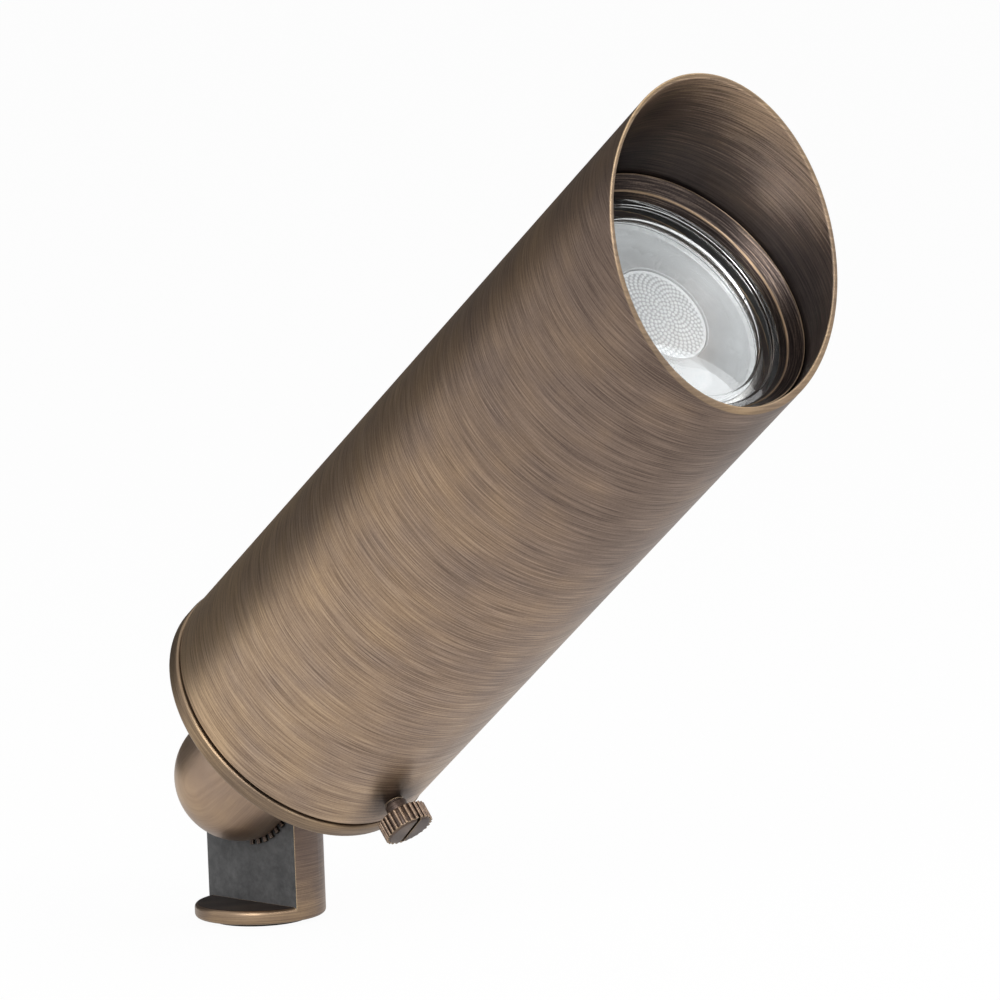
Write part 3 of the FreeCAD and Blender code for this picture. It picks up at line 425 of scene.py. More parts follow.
# A dark brass for the washer ring and the top of the foot's disc; on the disc its darkness is
# partly patina and partly painted shade of the corner under the column.
dark_brass_and_step_shade = aged_brass("aged_brass_step", foot_place, dark_stain, wear=0.9, contrast=0.2)
tooth_brass = aged_brass("aged_brass_teeth", pivot_place, ring_stain, wear=0.25, width=0.2,
                         contrast=0.2)
pivot_brass = aged_brass("aged_brass_knuckle", pivot_place, ball_stain, contrast=0.1)
screw_brass = aged_brass("aged_brass_ridges", thumb_place, ridge_stain, width=0.2, wear=0.9,
                         contrast=0.2)
# The thumbscrew's body is dark brass, and its darkness between the ridges also stands in as painted
# shade of the recess.
screw_dark_and_recess_shade = aged_brass("aged_brass_thumbscrew", thumb_place, dark_stain, width=0.2, contrast=0.2)
line_brass = aged_brass("aged_brass_line", head_place, rim_stain, contrast=0.3, wear=0.15)
ring_brass = aged_brass("turned_brass", head_place, ring_stain, edge=(0.42, 0.33, 0.22, 1),
                        wear=0.9, rough=0.40, width=0.3, contrast=0.5)
print("brass finishes", len(bpy.data.materials))

# %% [markdown]
# ## Plainer finishes
#
# The other pieces are bare turned brass, stainless steel, black rubber, silicone wire, ceramic and
# the face of the knuckle's lap, which was never polished. Each still gets what its surface shows
# at its own scale: a lathe's rings on bare metal, the dull speckle of rubber, the satin of a
# ceramic.

# %% Bare metals, rubber and ceramic
def turned_metal(name, place, colour, rough, rings=2.2, metallic=1.0, relief=0.2):
    finish = Finish(name)
    point, grain = brushed(finish, place, 0.02, rings)
    tarnish = finish.noise(point, 0.25, 3.0, 0.6)
    level = (0.6 + grain * 0.15 + (tarnish - 0.5) * 0.6).kept()
    dull = tuple(part * 0.55 for part in colour[:3]) + (1,)
    return finish.solid_surface({
        "Base Color": finish.mixed(level, dull, colour), "Metallic": metallic,
        "Roughness": rough + (0.5 - level) * 0.2, "Normal": finish.bump(relief, 0.02, grain)})


def speckled(name, place, dark, light, rough, grain_size, relief=0.2, contrast=1.0):
    finish = Finish(name)
    point = finish.place(place)
    grain = finish.noise(point, 1 / grain_size, 4.0, 0.6)
    cloud = finish.noise(point, 0.2 / grain_size, 2.0)
    level = (0.5 + ((grain - 0.5) * 0.6 + (cloud - 0.5) * 0.4) * contrast).kept()
    return finish.solid_surface({
        "Base Color": finish.mixed(level, dark, light), "Roughness": rough + (grain - 0.5) * 0.2,
        "Normal": finish.bump(relief, 0.05, grain)})


steel = (0.62, 0.61, 0.59, 1)
bare_brass = turned_metal("plain_brass", head_place, (0.72, 0.55, 0.27, 1), 0.32)
steel_head = turned_metal("stainless_head", head_place, steel, 0.28)
steel_pivot = turned_metal("stainless_pivot", pivot_place, steel, 0.28)
spring_metal = turned_metal("socket_metal", head_place, (0.60, 0.60, 0.62, 1), 0.25)
rubber = speckled("black_rubber", foot_place, grey(0.008), grey(0.03), 0.62, 0.4)
wire_skin = speckled("lead_silicone", head_place,
                     (0.02, 0.02, 0.021, 1), (0.06, 0.06, 0.062, 1), 0.5, 0.5)
ceramic = speckled("white_ceramic", head_place,
                   (0.62, 0.60, 0.56, 1), (0.78, 0.76, 0.72, 1), 0.45, 0.6)
pad_plastic = speckled("soft_pad", head_place,
                       (0.45, 0.45, 0.43, 1), (0.62, 0.62, 0.60, 1), 0.5, 0.3)
lap_dark = speckled("unpolished_lap", foot_place,
                    (0.008, 0.008, 0.009, 1), (0.100, 0.100, 0.101, 1), 0.55, 1.4, 0.6, 1.8)
print("finishes so far", len(bpy.data.materials))

# %% [markdown]
# ## Glass and the lamp's own finishes
#
# The stepped glass and the lamp's cover are clear, so what shows of them is their reflections and
# their edges. A ray tracer darkens whatever lies behind glass, because light reaches it only by
# lucky paths. So the glass lets shadow rays and diffuse rays pass straight through, as a thin
# window does. The lamp's bowl is silvered, and its lens is milky. The dimples are the lighter, and
# the ground between them is darker, as painted shade among the dimples, so that each dimple shows.

# %% Clear glass, silver and milky plastic
def clear(name, tint, rough=0.0, smudge=0.03):
    finish = Finish(name)
    point = finish.place(head_place)
    haze = finish.noise(point, 0.12, 3.0, 0.6)
    glass = finish.add("ShaderNodeBsdfPrincipled", {}, {
        "Base Color": tint, "Roughness": rough + (haze - 0.45).kept() * smudge,
        "IOR": 1.5, "Transmission Weight": 1.0})
    window = finish.add("ShaderNodeBsdfTransparent", {}, {"Color": tint})
    path = finish.add("ShaderNodeLightPath")
    passing = path.also("Is Shadow Ray") + path.also("Is Diffuse Ray")
    return finish.surface(finish.add("ShaderNodeMixShader", {}, {
        0: passing.kept(), 1: glass, 2: window}))


front_glass = clear("clear_glass", (0.96, 0.975, 0.98, 1))
lamp_clear = clear("lamp_clear", grey(0.98), 0.02)
lamp_silver = turned_metal("lamp_silver", head_place, (0.92, 0.925, 0.93, 1), 0.3,
                           rings=0.3, metallic=0.12, relief=0.02)
lamp_body = speckled("lamp_emitter", head_place,
                     (0.80, 0.80, 0.79, 1), (0.9, 0.9, 0.89, 1), 0.3, 1.0)
lamp_lens = speckled("lamp_lens", head_place,
                     (0.66, 0.665, 0.67, 1), (0.78, 0.78, 0.785, 1), 0.3, 1.0)
# Painted shade: a darker grey for the ground between the dimples.
painted_shade_between_dimples = speckled("lamp_lens_shade", head_place,
                      (0.40, 0.405, 0.41, 1), (0.50, 0.50, 0.505, 1), 0.4, 1.0)
print("finishes", len(bpy.data.materials))

# %% [markdown]
# ## Turned pieces
#
# Most of this object is turned on a lathe, so most of the finer pieces are an outline swung round
# an axis. Blender's Screw modifier could do that. A short mesh function is better here, because it
# can ease each corner by its own radius, and because the hood's mouth is cut on a slant, which
# is a height that changes round the turn. A corner is written as its radius and its height, and
# where it needs them its easing and its share of the slant.

# %% Ease the corners of an outline
nearly_half = 0.49


def eased(outline, closed, steps=4):
    points = []
    for place, corner in enumerate(outline):
        here = Vector(corner[:2])
        radius = corner[2] if len(corner) > 2 else 0.0
        slant = corner[3] if len(corner) > 3 else 0.0
        is_end = not closed and place in (0, len(outline) - 1)
        if not radius or is_end:
            points.append((here.x, here.y, slant))
            continue
        before = Vector(outline[place - 1][:2]) - here
        after = Vector(outline[(place + 1) % len(outline)][:2]) - here
        reach = min(radius, before.length * nearly_half, after.length * nearly_half)
        first, last = here + before.normalized() * reach, here + after.normalized() * reach
        for step in range(steps + 1):
            share = step / steps
            spot = first * (1 - share) ** 2 + here * 2 * share * (1 - share) + last * share ** 2
            points.append((spot.x, spot.y, slant))
    return points


print("a square with one eased corner has",
      len(eased([(1, 0), (2, 0, 0.2), (2, 1), (1, 1)], closed=True)), "points")


# %% Swing an outline round the axis
sharp_angle = math.radians(32)
on_the_axis = 1e-6


def shaded(mesh):
    mesh.shade_smooth()
    mesh.set_sharp_from_angle(angle=sharp_angle)


def settled(name, shape, place, material=None):
    mesh = bpy.data.meshes.new(name)
    shape.to_mesh(mesh)
    shape.free()
    mesh.transform(place)
    if material:
        mesh.materials.append(material)
    shaded(mesh)
    return put_in_scene(name, mesh)


def turned(name, outline, place, material, closed=True, segments=160, rake=0.0):
    shape = bmesh.new()
    rings = []
    for radius, height, slant in eased(outline, closed):
        if radius < on_the_axis:
            rings.append([shape.verts.new((0, 0, height))])
            continue
        ring = []
        for step in range(segments):
            angle = 2 * math.pi * step / segments
            x, y = radius * math.cos(angle), radius * math.sin(angle)
            ring.append(shape.verts.new((x, y, height - slant * rake * x)))
        rings.append(ring)
    pairs = list(zip(rings, rings[1:])) + ([(rings[-1], rings[0])] if closed else [])
    for low, high in pairs:
        for step in range(segments):
            after = (step + 1) % segments
            corners = [low[step % len(low)], low[after % len(low)],
                       high[after % len(high)], high[step % len(high)]]
            corners = list(dict.fromkeys(corners))
            if len(corners) > 2:
                shape.faces.new(corners)
    bmesh.ops.recalc_face_normals(shape, faces=shape.faces)
    return settled(name, shape, place, material)


# %% [markdown]
# ## Finishing a piece
#
# A piece ends as a plain mesh, so its modifiers are used up: the evaluated object is turned into
# a new mesh and the modifiers go. A Boolean cuts holes and slots in the same way. Where part of a
# piece looks different, its faces are picked by where they lie and which way they face, and get a
# second finish. At last the piece is told which body it rides on and which solid it stands for.

# %% Make it plain, cut it, dress it and fit it
def made_plain(piece):
    evaluated = piece.evaluated_get(bpy.context.evaluated_depsgraph_get())
    mesh = bpy.data.meshes.new_from_object(evaluated)
    mesh.name = piece.name
    piece.modifiers.clear()
    piece.data = mesh
    return mesh


def cut_away(piece, cutter):
    cut = piece.modifiers.new("cut", "BOOLEAN")
    cut.object, cut.operation, cut.solver = cutter, "DIFFERENCE", "EXACT"
    shaded(made_plain(piece))
    bpy.data.objects.remove(cutter)


def dressed_where(piece, place, material, test):
    back = place.inverted()
    piece.data.materials.append(material)
    for polygon in piece.data.polygons:
        if test(back @ polygon.center, polygon.normal):
            polygon.material_index = len(piece.data.materials) - 1


def fitted(piece, body, slot, *stands_for):
    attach(piece, body)
    if stands_for:
        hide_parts(*stands_for)
    print(piece.name, len(piece.data.polygons), "faces on", body)
    return piece


# %% [markdown]
# ## The hood
#
# The hood is a drawn tube, 63.5 mm across with a 1.5 mm wall, cut square at the rear and on a
# slant at the mouth, so that its long side shades the lamp. Its edges are only broken, by a
# quarter of a millimetre, and that thin round is what catches the light as a line along the rim.
# On its long side the bore is also opened out a little at the lip, which makes the rim look
# thinner there. The thumbscrew's hole is cut through the wall by a Boolean.

# %% The hood's tube and hole
hood_inner, hood_rear = 30.25, 29.2
mouth_middle, mouth_rake, mouth_depth = 197.1, 15.3 / hood_outer, 38.0
hood = turned("hood_tube", [
    (hood_outer, hood_rear, 0.25), (hood_outer, mouth_middle, 0.3, 1.0),
    (hood_inner, mouth_middle, 0.3, 1.0), (hood_inner, mouth_middle - mouth_depth, 0.0, 1.0),
    (hood_inner, hood_rear, 0.25)], head_place, head_brass_and_painted_shade, segments=256, rake=mouth_rake)
hole_radius, hole_middle, hole_depth = 2.05, 31.0, 8.0
hole_shape = bmesh.new()
bmesh.ops.create_cone(hole_shape, cap_ends=True, segments=48, radius1=hole_radius,
                      radius2=hole_radius, depth=hole_depth,
                      matrix=Matrix.Translation((0, 0, hole_middle)))
cut_away(hood, settled("hole_cutter", hole_shape, thumb_place))

# %% The hood's inside and lip
bore_limit, skin_limit, mouth_start = hood_inner + 0.15, hood_outer - 0.02, 150
# The bore takes the inside finish, with its painted shade and sheen.
dressed_where(hood, head_place, inside_brass_and_painted_shade, lambda spot, normal: spot.xy.length < bore_limit)
dressed_where(hood, head_place, rim_brass, lambda spot, normal: (
    bore_limit < spot.xy.length < skin_limit and spot.z > mouth_start))
lip_thinned, lip_height, lip_limit = 0.65, 1.0, hood_inner + 0.4
head_back = head_place.inverted()
for vertex in hood.data.vertices:
    spot = head_back @ vertex.co
    below_lip = mouth_middle - mouth_rake * spot.x - spot.z
    if spot.xy.length < lip_limit and below_lip < lip_height:
        long_side = 0.5 - 0.5 * spot.x / spot.xy.length
        widened = 1 + lip_thinned * long_side / spot.xy.length
        vertex.co = head_place @ Vector((spot.x * widened, spot.y * widened, spot.z))
fitted(hood, "hood", "aged_brass", "hood")

# %% [markdown]
# ## Milled pieces
#
# The two halves of the knuckle and the flange are milled and turned, and their solids have the
# right shape already. What they lack is the small round on every edge, which a Bevel modifier adds
# to a copy. The copy's corners are joined first, and its flat faces are made whole, since a bevel
# can't follow edges that are only there because a flat was cut into triangles.

# %% Copy a solid and break its edges
same_place, same_plane = 2e-6, math.radians(0.4)


def edged(node, name, bevel, material):
    shape = bmesh.new()
    shape.from_mesh(nodes[node].data)
    bmesh.ops.remove_doubles(shape, verts=shape.verts, dist=same_place)
    bmesh.ops.dissolve_limit(shape, angle_limit=same_plane, verts=shape.verts, edges=shape.edges)
    shape.verts.index_update()
    corners = [vertex.co.copy() for vertex in shape.verts]
    loops = [[vertex.index for vertex in face.verts] for face in shape.faces]
    shape.free()
    plain = bpy.data.meshes.new(name + "_plain")
    plain.from_pydata(corners, [], loops)
    piece = put_in_scene(name, plain)
    rounding = piece.modifiers.new("edges", "BEVEL")
    rounding.width, rounding.segments = bevel * millimetre, 2
    rounding.limit_method, rounding.angle_limit = "ANGLE", sharp_angle
    rounding.use_clamp_overlap = True
    mesh = made_plain(piece)
    mesh.materials.clear()
    mesh.materials.append(material)
    shaded(mesh)
    return piece


# %% Knuckle and flange
lap_face, step_low, step_high, facing = -2.2, 2.5, 5.0, 0.9
column = edged("knuckle_lower", "knuckle_column", 0.3, foot_brass_and_painted_shade)
dressed_where(column, foot_place, lap_dark, lambda spot, normal: (
    abs(spot.y - lap_face) < 0.05 and normal.y < -facing))
# The top of the disc under the column gets the darker finish: partly patina, partly painted shade.
dressed_where(column, foot_place, dark_brass_and_step_shade, lambda spot, normal: (
    normal.z > facing and step_low < spot.z < step_high))
fitted(column, "foot", "aged_brass", "knuckle_lower")
ball = edged("knuckle_upper", "knuckle_ball", 0.3, pivot_brass)
fitted(ball, "head", "aged_brass", "knuckle_upper")
flange = edged("base_plate", "flange_plate", 0.2, flange_brass)
fitted(flange, "head", "aged_brass", "base_plate")

# %% [markdown]
# ## The lens ring and the stepped glass
#
# A dark turned ring screws over the front of the housing and holds the glass. It slopes inward in
# two steps, and the line between them is rubbed bare. The glass is pressed with two shallow steps
# in its face, and each step's edge shows as a thin bright arc. Both are turned outlines, with
# small rounds where the bright lines are.

# %% The lens ring
ring_radius, ring_rear, ring_front = 29.8, 157.3, 181.0
ring_bore, seat_radius, seat_height = 28.5, 28.0, 172.4
ring_lip, lip_top = 26.5, glass_front + 0.02
ring_line, line_height, bare_rim = 27.5, 178.15, ring_radius - 0.25
lens_ring = turned("lens_ring_turned", [
    (ring_bore, ring_rear, 0.2), (ring_radius, ring_rear, 0.3), (ring_radius, ring_front, 0.15),
    (bare_rim, ring_front, 0.1), (ring_line + 0.15, line_height, 0.06),
    (ring_line - 0.05, line_height - 0.05, 0.06), (ring_line - 0.25, line_height - 0.35, 0.06),
    (ring_lip, lip_top, 0.12), (seat_radius, lip_top), (seat_radius, seat_height),
    (ring_bore, seat_height)], head_place, ring_brass, segments=200)
dressed_where(lens_ring, head_place, line_brass, lambda spot, normal: (
    ring_line - 0.2 < spot.xy.length < ring_line + 0.12 and spot.z > 177.5))
dressed_where(lens_ring, head_place, line_brass, lambda spot, normal: (
    spot.xy.length > bare_rim and spot.z > ring_front - 0.1))
fitted(lens_ring, "lens_ring", "turned_brass", "lens_ring")

# %% The stepped glass
glass_rear, glass_radius = 172.3, 27.9
step_drop, step_outer, step_inner, step_draft = 0.75, 25.2, 22.4, 0.1
first_step, second_step = glass_front - step_drop, glass_front - 2 * step_drop
glass = turned("glass_stepped", [
    (0, glass_rear), (glass_radius, glass_rear, 0.3), (glass_radius, glass_front, 0.3),
    (step_outer, glass_front, 0.35), (step_outer - step_draft, first_step, 0.3),
    (step_inner, first_step, 0.35), (step_inner - step_draft, second_step, 0.3),
    (0, second_step)], head_place, front_glass, closed=False, segments=200)
fitted(glass, "lens", "clear_glass", "glass_lens")

# %% [markdown]
# ## The lamp
#
# Behind the glass sits a standard 50 mm reflector lamp: a silvered bowl, a clear cover, and in the
# middle a lens whose face is covered in small dimples that blend the light of its chips. The bowl
# and the cover are turned. The dimples repeat, and they follow a rule, the same spiral as the
# seeds of a sunflower, so Geometry Nodes set them out.

# %% A geometry tree with named inputs
class Growth(Net):
    def __init__(self, name, sizes):
        super().__init__(bpy.data.node_groups.new(name, "GeometryNodeTree"))
        for label, kind in sizes.items():
            self.tree.interface.new_socket(label, in_out="INPUT", socket_type="NodeSocket" + kind)
        for label, way in (("Material", "INPUT"), ("Geometry", "OUTPUT")):
            self.tree.interface.new_socket(label, in_out=way, socket_type="NodeSocket" + label)
        self.entry = self.tree.nodes.new("NodeGroupInput")

    def size(self, label):
        return Reading(self, self.entry.outputs[label])

    def copies(self, points, one, turn, scale=(1.0, 1.0, 1.0)):
        return self.add("GeometryNodeInstanceOnPoints", {}, {
            "Points": points, "Instance": one, "Rotation": turn, "Scale": scale})

    def vector(self, x=0.0, y=0.0, z=0.0):
        return self.add("ShaderNodeCombineXYZ", {}, {0: x, 1: y, 2: z})

    def end(self, geometry):
        whole = self.add("GeometryNodeRealizeInstances", {}, {0: geometry})
        dressed = self.add("GeometryNodeSetMaterial", {}, {
            "Geometry": whole, "Material": self.size("Material")})
        self.add("NodeGroupOutput", {}, {0: dressed})
        print(self.tree.name, "is a tree of", len(self.tree.nodes), "nodes")

    def grown(self, name, place, material, values):
        piece = put_in_scene(name, bpy.data.meshes.new(name + "_seed"))
        growth = piece.modifiers.new(name, "NODES")
        growth.node_group = self.tree
        chosen = dict(values, Material=material)
        for item in self.tree.interface.items_tree:
            if item.in_out == "INPUT":
                growth[item.identifier] = chosen[item.name]
        mesh = made_plain(piece)
        mesh.transform(place)
        shaded(mesh)
        return piece


# %% Dimples on the seeds of a sunflower
dimples = Growth("dimples", {
    "Count": "Int", "Spacing": "Float", "Dome Radius": "Float", "Dome Top": "Float",
    "Bead": "Float"})
golden_angle, bead_flatness = 2.39996, 0.7
seed = dimples.add("GeometryNodeInputIndex")
reach = (seed + 0.5) ** 0.5 * dimples.size("Spacing")
across_dome = dimples.maths("COSINE", seed * golden_angle, 0.0) * reach
along_dome = dimples.maths("SINE", seed * golden_angle, 0.0) * reach
dome = dimples.size("Dome Radius")
height = dimples.size("Dome Top") - dome + (dome * dome - reach * reach) ** 0.5
cloud = dimples.add("GeometryNodePoints", {}, {
    "Count": dimples.size("Count"), "Position": dimples.vector(across_dome, along_dome, height)})
bead = dimples.add("GeometryNodeMeshUVSphere", {}, {
    "Segments": 10, "Rings": 6, "Radius": dimples.size("Bead")})
dimples.end(dimples.copies(cloud, bead, (0.0, 0.0, 0.0), (1.0, 1.0, bead_flatness)))
beads = dimples.grown("lamp_dimples", head_place, lamp_lens, {
    "Count": 350, "Spacing": 0.575, "Dome Radius": 120.0, "Dome Top": 171.36, "Bead": 0.43})
fitted(beads, "head", "lamp_clear", "lamp_optic")

# %% The lamp's lens body
lens_foot, lens_lip, dimpled_radius = 164.8, 171.2, 10.6
lens_body = turned("lamp_lens_body", [
    (0, lens_foot), (10.0, lens_foot, 0.3), (11.2, 170.2, 0.2), (11.25, lens_lip, 0.25),
    (10.9, lens_lip, 0.1), (dimpled_radius, 170.97), (7.5, 171.18), (4.0, 171.34), (0, 171.4)],
    head_place, lamp_lens, closed=False, segments=96)
# The ground between the dimples takes the darker grey, painted shade among them.
dressed_where(lens_body, head_place, painted_shade_between_dimples, lambda spot, normal: (
    spot.xy.length < dimpled_radius and spot.z > 170.5))
fitted(lens_body, "head", "lamp_clear", "lamp_optic")

# %% The lamp's bowl and cover
bowl_foot, bowl_floor, rim_low, rim_top, rim_radius = 144.25, 145.55, 168.82, 171.75, 24.7
cover_low, cover_inner, cover_outer = 170.22, 11.4, 23.3
bowl_outside = [(0, bowl_foot), (9.4, bowl_foot, 0.5), (12.6, 149.4), (16.0, 155.6),
                (19.0, 161.2), (21.6, 166.0)]
bowl_rim = [(23.4, rim_low, 0.3), (rim_radius, rim_low, 0.3), (rim_radius, rim_top, 0.3),
            (23.4, rim_top, 0.1), (23.4, 170.15)]
bowl_inside = [(22.1, 170.15, 0.2), (20.4, 166.4), (17.7, 161.3), (14.7, 156.0), (11.5, 150.3),
               (8.3, 145.6, 0.4), (0, bowl_floor)]
bowl = turned("lamp_bowl", bowl_outside + bowl_rim + bowl_inside, head_place, lamp_silver,
              closed=False)
dressed_where(bowl, head_place, steel_head, lambda spot, normal: spot.xy.length > 23.0)
fitted(bowl, "head", "lamp_silver", "lamp_reflector")
cover = turned("lamp_window", [
    (cover_inner, cover_low, 0.1), (cover_outer, cover_low, 0.1), (cover_outer, rim_top, 0.15),
    (cover_inner, rim_top, 0.15)], head_place, lamp_clear, segments=128)
dressed_where(cover, head_place, lamp_lens, lambda spot, normal: (
    spot.xy.length < cover_inner + 0.1))
fitted(cover, "head", "lamp_clear", "lamp_cover")

# %% [markdown]
# ## The thumbscrew
#
# A small slotted thumbscrew locks the hood. Its head is a turned disc whose rim carries 26
# straight ridges, like a coin's milling. The ridges are one short bar, copied round by Geometry
# Nodes with the count, radius and length as named inputs. The slot is cut by a Boolean, which
# leaves clean walls, and the thread is a spiral with a small round section.

# %% A bar copied round a ring
ring_of_bars = Growth("ring_of_bars", {
    "Count": "Int", "Ring Radius": "Float", "Bar Radius": "Float", "Bar Length": "Float",
    "Base": "Float"})
size = ring_of_bars.size
place_in_turn = ring_of_bars.add("GeometryNodeInputIndex") * (2 * math.pi) / size("Count")
starts = ring_of_bars.add("GeometryNodePoints", {}, {"Count": size("Count")})
bar = ring_of_bars.add("GeometryNodeMeshCylinder", {}, {
    "Vertices": 12, "Side Segments": 1, "Radius": size("Bar Radius"), "Depth": size("Bar Length")})
middle = size("Base") + size("Bar Length") * 0.5
moved_bar = ring_of_bars.add("GeometryNodeTransform", {}, {
    "Geometry": bar, "Translation": ring_of_bars.vector(size("Ring Radius"), 0.0, middle)})
ring_of_bars.end(ring_of_bars.copies(
    starts, moved_bar, ring_of_bars.vector(0.0, 0.0, place_in_turn)))

# %% A thread
thread = Growth("thread", {
    "Turns": "Float", "Radius": "Float", "Length": "Float", "Ridge": "Float", "Base": "Float"})
size = thread.size
spiral = thread.add("GeometryNodeCurveSpiral", {}, {
    "Resolution": 28, "Rotations": size("Turns"), "Start Radius": size("Radius"),
    "End Radius": size("Radius"), "Height": size("Length")})
section = thread.add("GeometryNodeCurvePrimitiveCircle", {}, {
    "Resolution": 5, "Radius": size("Ridge")})
coil = thread.add("GeometryNodeCurveToMesh", {}, {
    "Curve": spiral, "Profile Curve": section, "Fill Caps": True})
thread.end(thread.add("GeometryNodeTransform", {}, {
    "Geometry": coil, "Translation": thread.vector(0.0, 0.0, size("Base"))}))

# %% The thumbscrew's head, ridges and thread
screw_tip, neck_start, head_seat, head_top = 30.62, 32.45, 34.95, 39.45
shank_radius, neck_radius, head_radius = 1.8, 2.45, 4.95
slot_size, slot_turn = (14.0, 1.0, 3.2, 1.0), math.radians(7.5)
screw = turned("thumbscrew_body", [
    (0, screw_tip), (1.5, screw_tip, 0.2), (shank_radius, 31.0), (shank_radius, neck_start),
    (neck_radius, neck_start, 0.15), (neck_radius, head_seat - 0.4), (2.9, head_seat, 0.1),
    (4.8, head_seat, 0.2), (head_radius, head_seat + 0.3), (head_radius, head_top - 0.35),
    (4.6, head_top, 0.25), (0, head_top)],
    Matrix.Identity(4), screw_dark_and_recess_shade, closed=False, segments=96)
slot_shape = bmesh.new()
bmesh.ops.create_cube(slot_shape, size=1.0, matrix=(
    Matrix.Translation((0, 0, head_top)) @ Matrix.Rotation(slot_turn, 4, "Z")
    @ Matrix.Diagonal(slot_size)))
cut_away(screw, settled("slot_cutter", slot_shape, Matrix.Identity(4)))
screw.data.transform(thumb_place)
fitted(screw, "thumbscrew", "aged_brass", "thumbscrew")
ridges = ring_of_bars.grown("thumbscrew_ridges", thumb_place, screw_brass, {
    "Count": 26, "Ring Radius": 5.18, "Bar Radius": 0.38, "Bar Length": 3.9,
    "Base": head_seat + 0.3})
fitted(ridges, "thumbscrew", "aged_brass", "thumbscrew")
screw_thread = thread.grown("thumbscrew_thread", thumb_place, screw_brass, {
    "Turns": 2.6, "Radius": 1.82, "Length": 1.8, "Ridge": 0.16, "Base": 30.85})
fitted(screw_thread, "thumbscrew", "aged_brass", "thumbscrew")

# %% [markdown]
# ## The serrated washer
#
# Between the two halves of the knuckle lies a washer with radial teeth, which stops the head from
# slipping once the bolt is tight. The washer is a turned ring, and a tooth is a six-sided bar laid
# along the radius and copied round by the same kind of tree as the ridges. Its inputs also say at
# which angle the teeth start and how far apart they stand, so the tree is used twice: for the
# whole round of short teeth, and for the six long ones that show below the ball.

# %% Teeth round the washer
ring_of_teeth = Growth("ring_of_teeth", {
    "Count": "Int", "Inner": "Float", "Outer": "Float", "Tooth": "Float", "Base": "Float",
    "Start": "Float", "Pitch": "Float"})
size = ring_of_teeth.size
turn_of_tooth = size("Start") + ring_of_teeth.add("GeometryNodeInputIndex") * size("Pitch")
one_point = ring_of_teeth.add("GeometryNodePoints", {}, {"Count": size("Count")})
tooth = ring_of_teeth.add("GeometryNodeMeshCylinder", {}, {
    "Vertices": 6, "Side Segments": 1, "Radius": size("Tooth"),
    "Depth": size("Outer") - size("Inner")})
tooth_middle = (size("Outer") + size("Inner")) * 0.5
radial_tooth = ring_of_teeth.add("GeometryNodeTransform", {}, {
    "Geometry": tooth, "Rotation": (0.0, quarter_turn, 0.0),
    "Translation": ring_of_teeth.vector(tooth_middle, 0.0, size("Base"))})
ring_of_teeth.end(ring_of_teeth.copies(
    one_point, radial_tooth, ring_of_teeth.vector(0.0, 0.0, turn_of_tooth)))

# %% The washer and its teeth
washer_inner, washer_outer, washer_low, washer_high = 12.7, 13.5, 1.3, 2.2
tooth_count, first_long_tooth = 42, 5
tooth_pitch = 2 * math.pi / tooth_count
shared = {"Inner": 13.1, "Base": (washer_low + washer_high) / 2, "Pitch": tooth_pitch}
teeth = ring_of_teeth.grown("washer_teeth", pivot_place, tooth_brass, {
    **shared, "Count": tooth_count, "Outer": 14.45, "Tooth": 0.6, "Start": 0.0})
fitted(teeth, "foot", "stainless", "tooth_washer")
long_teeth = ring_of_teeth.grown("washer_teeth_low", pivot_place, tooth_brass, {
    **shared, "Count": 6, "Outer": 15.6, "Tooth": 0.62, "Start": tooth_pitch * first_long_tooth})
fitted(long_teeth, "foot", "stainless", "tooth_washer")
washer = turned("washer_ring", [
    (washer_inner, washer_low, 0.1), (washer_outer, washer_low, 0.1),
    (washer_outer, washer_high, 0.1), (washer_inner, washer_high, 0.1)],
    pivot_place, dark_brass_and_step_shade, segments=126)
fitted(washer, "foot", "stainless", "tooth_washer")

# %% [markdown]
# ## Finishes for the solids that stay
#
# The rest of the object is either hidden or already the right shape. Each of those solids
# keeps its mesh and only gets a finish, from the table below.

# %% Hand out the finishes
finish_of = {
    "foot_gasket": rubber, "knuckle_seal": rubber, "housing_seal": rubber, "ring_seal": rubber,
    "hood_seal": rubber, "wire_plug": rubber, "lens_gasket": rubber,
    "pivot_washer": steel_pivot, "pivot_bolt": steel_pivot,
    "nut_washer": bare_brass, "knuckle_nut": bare_brass, "housing": housing_brass,
    "socket_ring": spring_metal, "lamp_clip": spring_metal, "socket_contacts": spring_metal,
    "lamp_pins": spring_metal, "socket_plate": steel_head, "socket_screws": steel_head,
    "lamp_socket": ceramic, "lamp_base": ceramic, "lamp_chip": lamp_body,
    "lead_right": wire_skin, "lead_left": wire_skin, "thumbscrew_pad": pad_plastic}
for node, finish in finish_of.items():
    mesh = nodes[node].data
    mesh.materials.clear()
    mesh.materials.append(finish)
print("solids dressed", len(finish_of))

# %% [markdown]
# ## Floor and light
#
# The object stands in an even white room, and the world lights it softly from everywhere. Three
# soft lamps help: one by the camera gives the sides their fall-off, one behind lights the glass,
# and one in front of the mouth reaches into the hood. What gives bare metal its shape is what it
# mirrors, so a dark board stands out of the picture on the left, as it does in a studio, and the
# floor mirrors darker near the foot, as a painted shadow of the object that shows only in
# reflections. The floor and the world are plain white to the camera.

# %% World and floor
def ray_kinds(net):
    path = net.add("ShaderNodeLightPath")
    seen = (path.also("Is Camera Ray") + path.also("Is Transmission Ray")).kept()
    return seen, path.also("Is Glossy Ray")


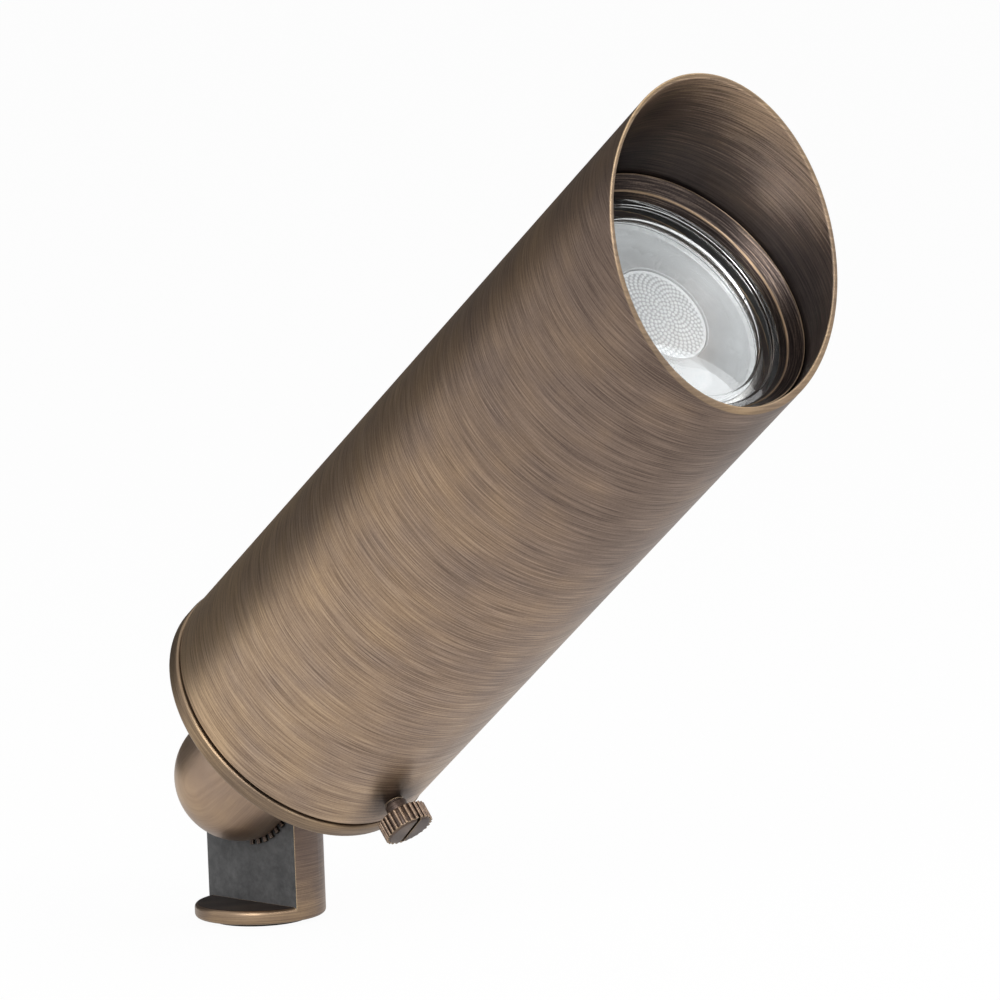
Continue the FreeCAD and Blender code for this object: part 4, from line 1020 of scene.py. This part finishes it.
def world_light(level_soft, level_mirror):
    world = bpy.data.worlds.new("white_room")
    bpy.context.scene.world = world
    world.use_nodes = True
    sky = Net(world.node_tree)
    sky.tree.nodes.clear()
    seen, glossy = ray_kinds(sky)
    mirrored = glossy * (1.0 - seen)
    strength = seen + mirrored * level_mirror + (1.0 - seen - mirrored) * level_soft
    shade = sky.add("ShaderNodeBackground", {}, {"Color": grey(1.0), "Strength": strength})
    sky.add("ShaderNodeOutputWorld", {}, {"Surface": shade})


def flat_board(name, corners, material):
    mesh = bpy.data.meshes.new(name)
    mesh.from_pydata([Vector(corner) for corner in corners], [], [tuple(range(len(corners)))])
    mesh.materials.append(material)
    board = put_in_scene(name, mesh)
    board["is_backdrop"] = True
    return board


def floor_finish(painted_shadow_centre=(0.05, 0.20, 0.0), shown=0.96, near=0.08, farther=0.62, start=0.12,
                 width=0.26):
    finish = Finish("white_floor")
    seen, glossy = ray_kinds(finish)
    away = finish.distance(finish.add("ShaderNodeTexCoord").also("Object"), painted_shadow_centre)
    # Painted shadow, seen only in reflections: the floor mirrors darkest round a spot under the
    # object and lighter farther off.
    mirrored = glossy * (near + ((away - start) / width).kept() * farther)
    paint = finish.add("ShaderNodeBsdfDiffuse", {}, {"Color": grey(0.8)})
    glow = finish.add("ShaderNodeEmission", {}, {"Color": grey(1.0), "Strength": 1.0})
    return finish.surface(finish.add("ShaderNodeMixShader", {}, {
        0: (seen * shown + mirrored).kept(), 1: paint, 2: glow}))


world_light(level_soft=0.55, level_mirror=1.0)
floor_reach, floor_level = 30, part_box("foot_gasket")[0].z
flat_board("floor", [(x * floor_reach, y * floor_reach, floor_level)
                     for x, y in ((-1, -1), (1, -1), (1, 1), (-1, 1))], floor_finish())
print("floor at", round(floor_level * 1000, 2), "mm")


# %% Lamps and the dark board
def soft_lamp(name, where, aim, size, power):
    lamp = put_in_scene(name, bpy.data.lights.new(name, "AREA"))
    lamp.data.shape, lamp.data.size, lamp.data.energy = "SQUARE", size, power
    lamp.location = where
    lamp.rotation_euler = (Vector(where) - Vector(aim)).to_track_quat("Z", "Y").to_euler()


def dark_board(name, corners, level=0.06):
    finish = Finish(name)
    paint = finish.add("ShaderNodeBsdfDiffuse", {}, {"Color": grey(level)})
    board = flat_board(name, corners, finish.surface(paint))
    board.visible_camera = board.visible_diffuse = board.visible_shadow = False
    board.visible_transmission = False


middle_of_object, in_the_hood = (0.08, -0.004, 0.09), (0.13, 0, 0.14)
soft_lamp("key", (0.75, -1.25, 0.75), middle_of_object, 0.9, 14)
soft_lamp("glass_lamp", (0.52, 0.62, 0.80), in_the_hood, 0.7, 2.3)
soft_lamp("front_lamp", (1.05, -0.05, 0.86), in_the_hood, 0.6, 8)
near_end, far_end, board_low, board_high = (-0.72, -0.42), (-0.55, 0.75), -0.02, 0.8
dark_board("board_left", [(*near_end, board_low), (*far_end, board_low),
                          (*far_end, board_high), (*near_end, board_high)])
print("lamps", len(bpy.data.lights))

# %% [markdown]
# ## Last checks
#
# The dressed object has to fill the same space as its solids, so both boxes are measured and their
# largest difference is printed.

# %% Measure and finish
scene = bpy.context.scene
scene.view_settings.view_transform = "Standard"
looks_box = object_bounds()
changes = [abs(a - b) * 1000 for ours, theirs in zip(cad_box, looks_box)
           for a, b in zip(ours, theirs)]
print("largest change in mm", round(max(changes), 3))
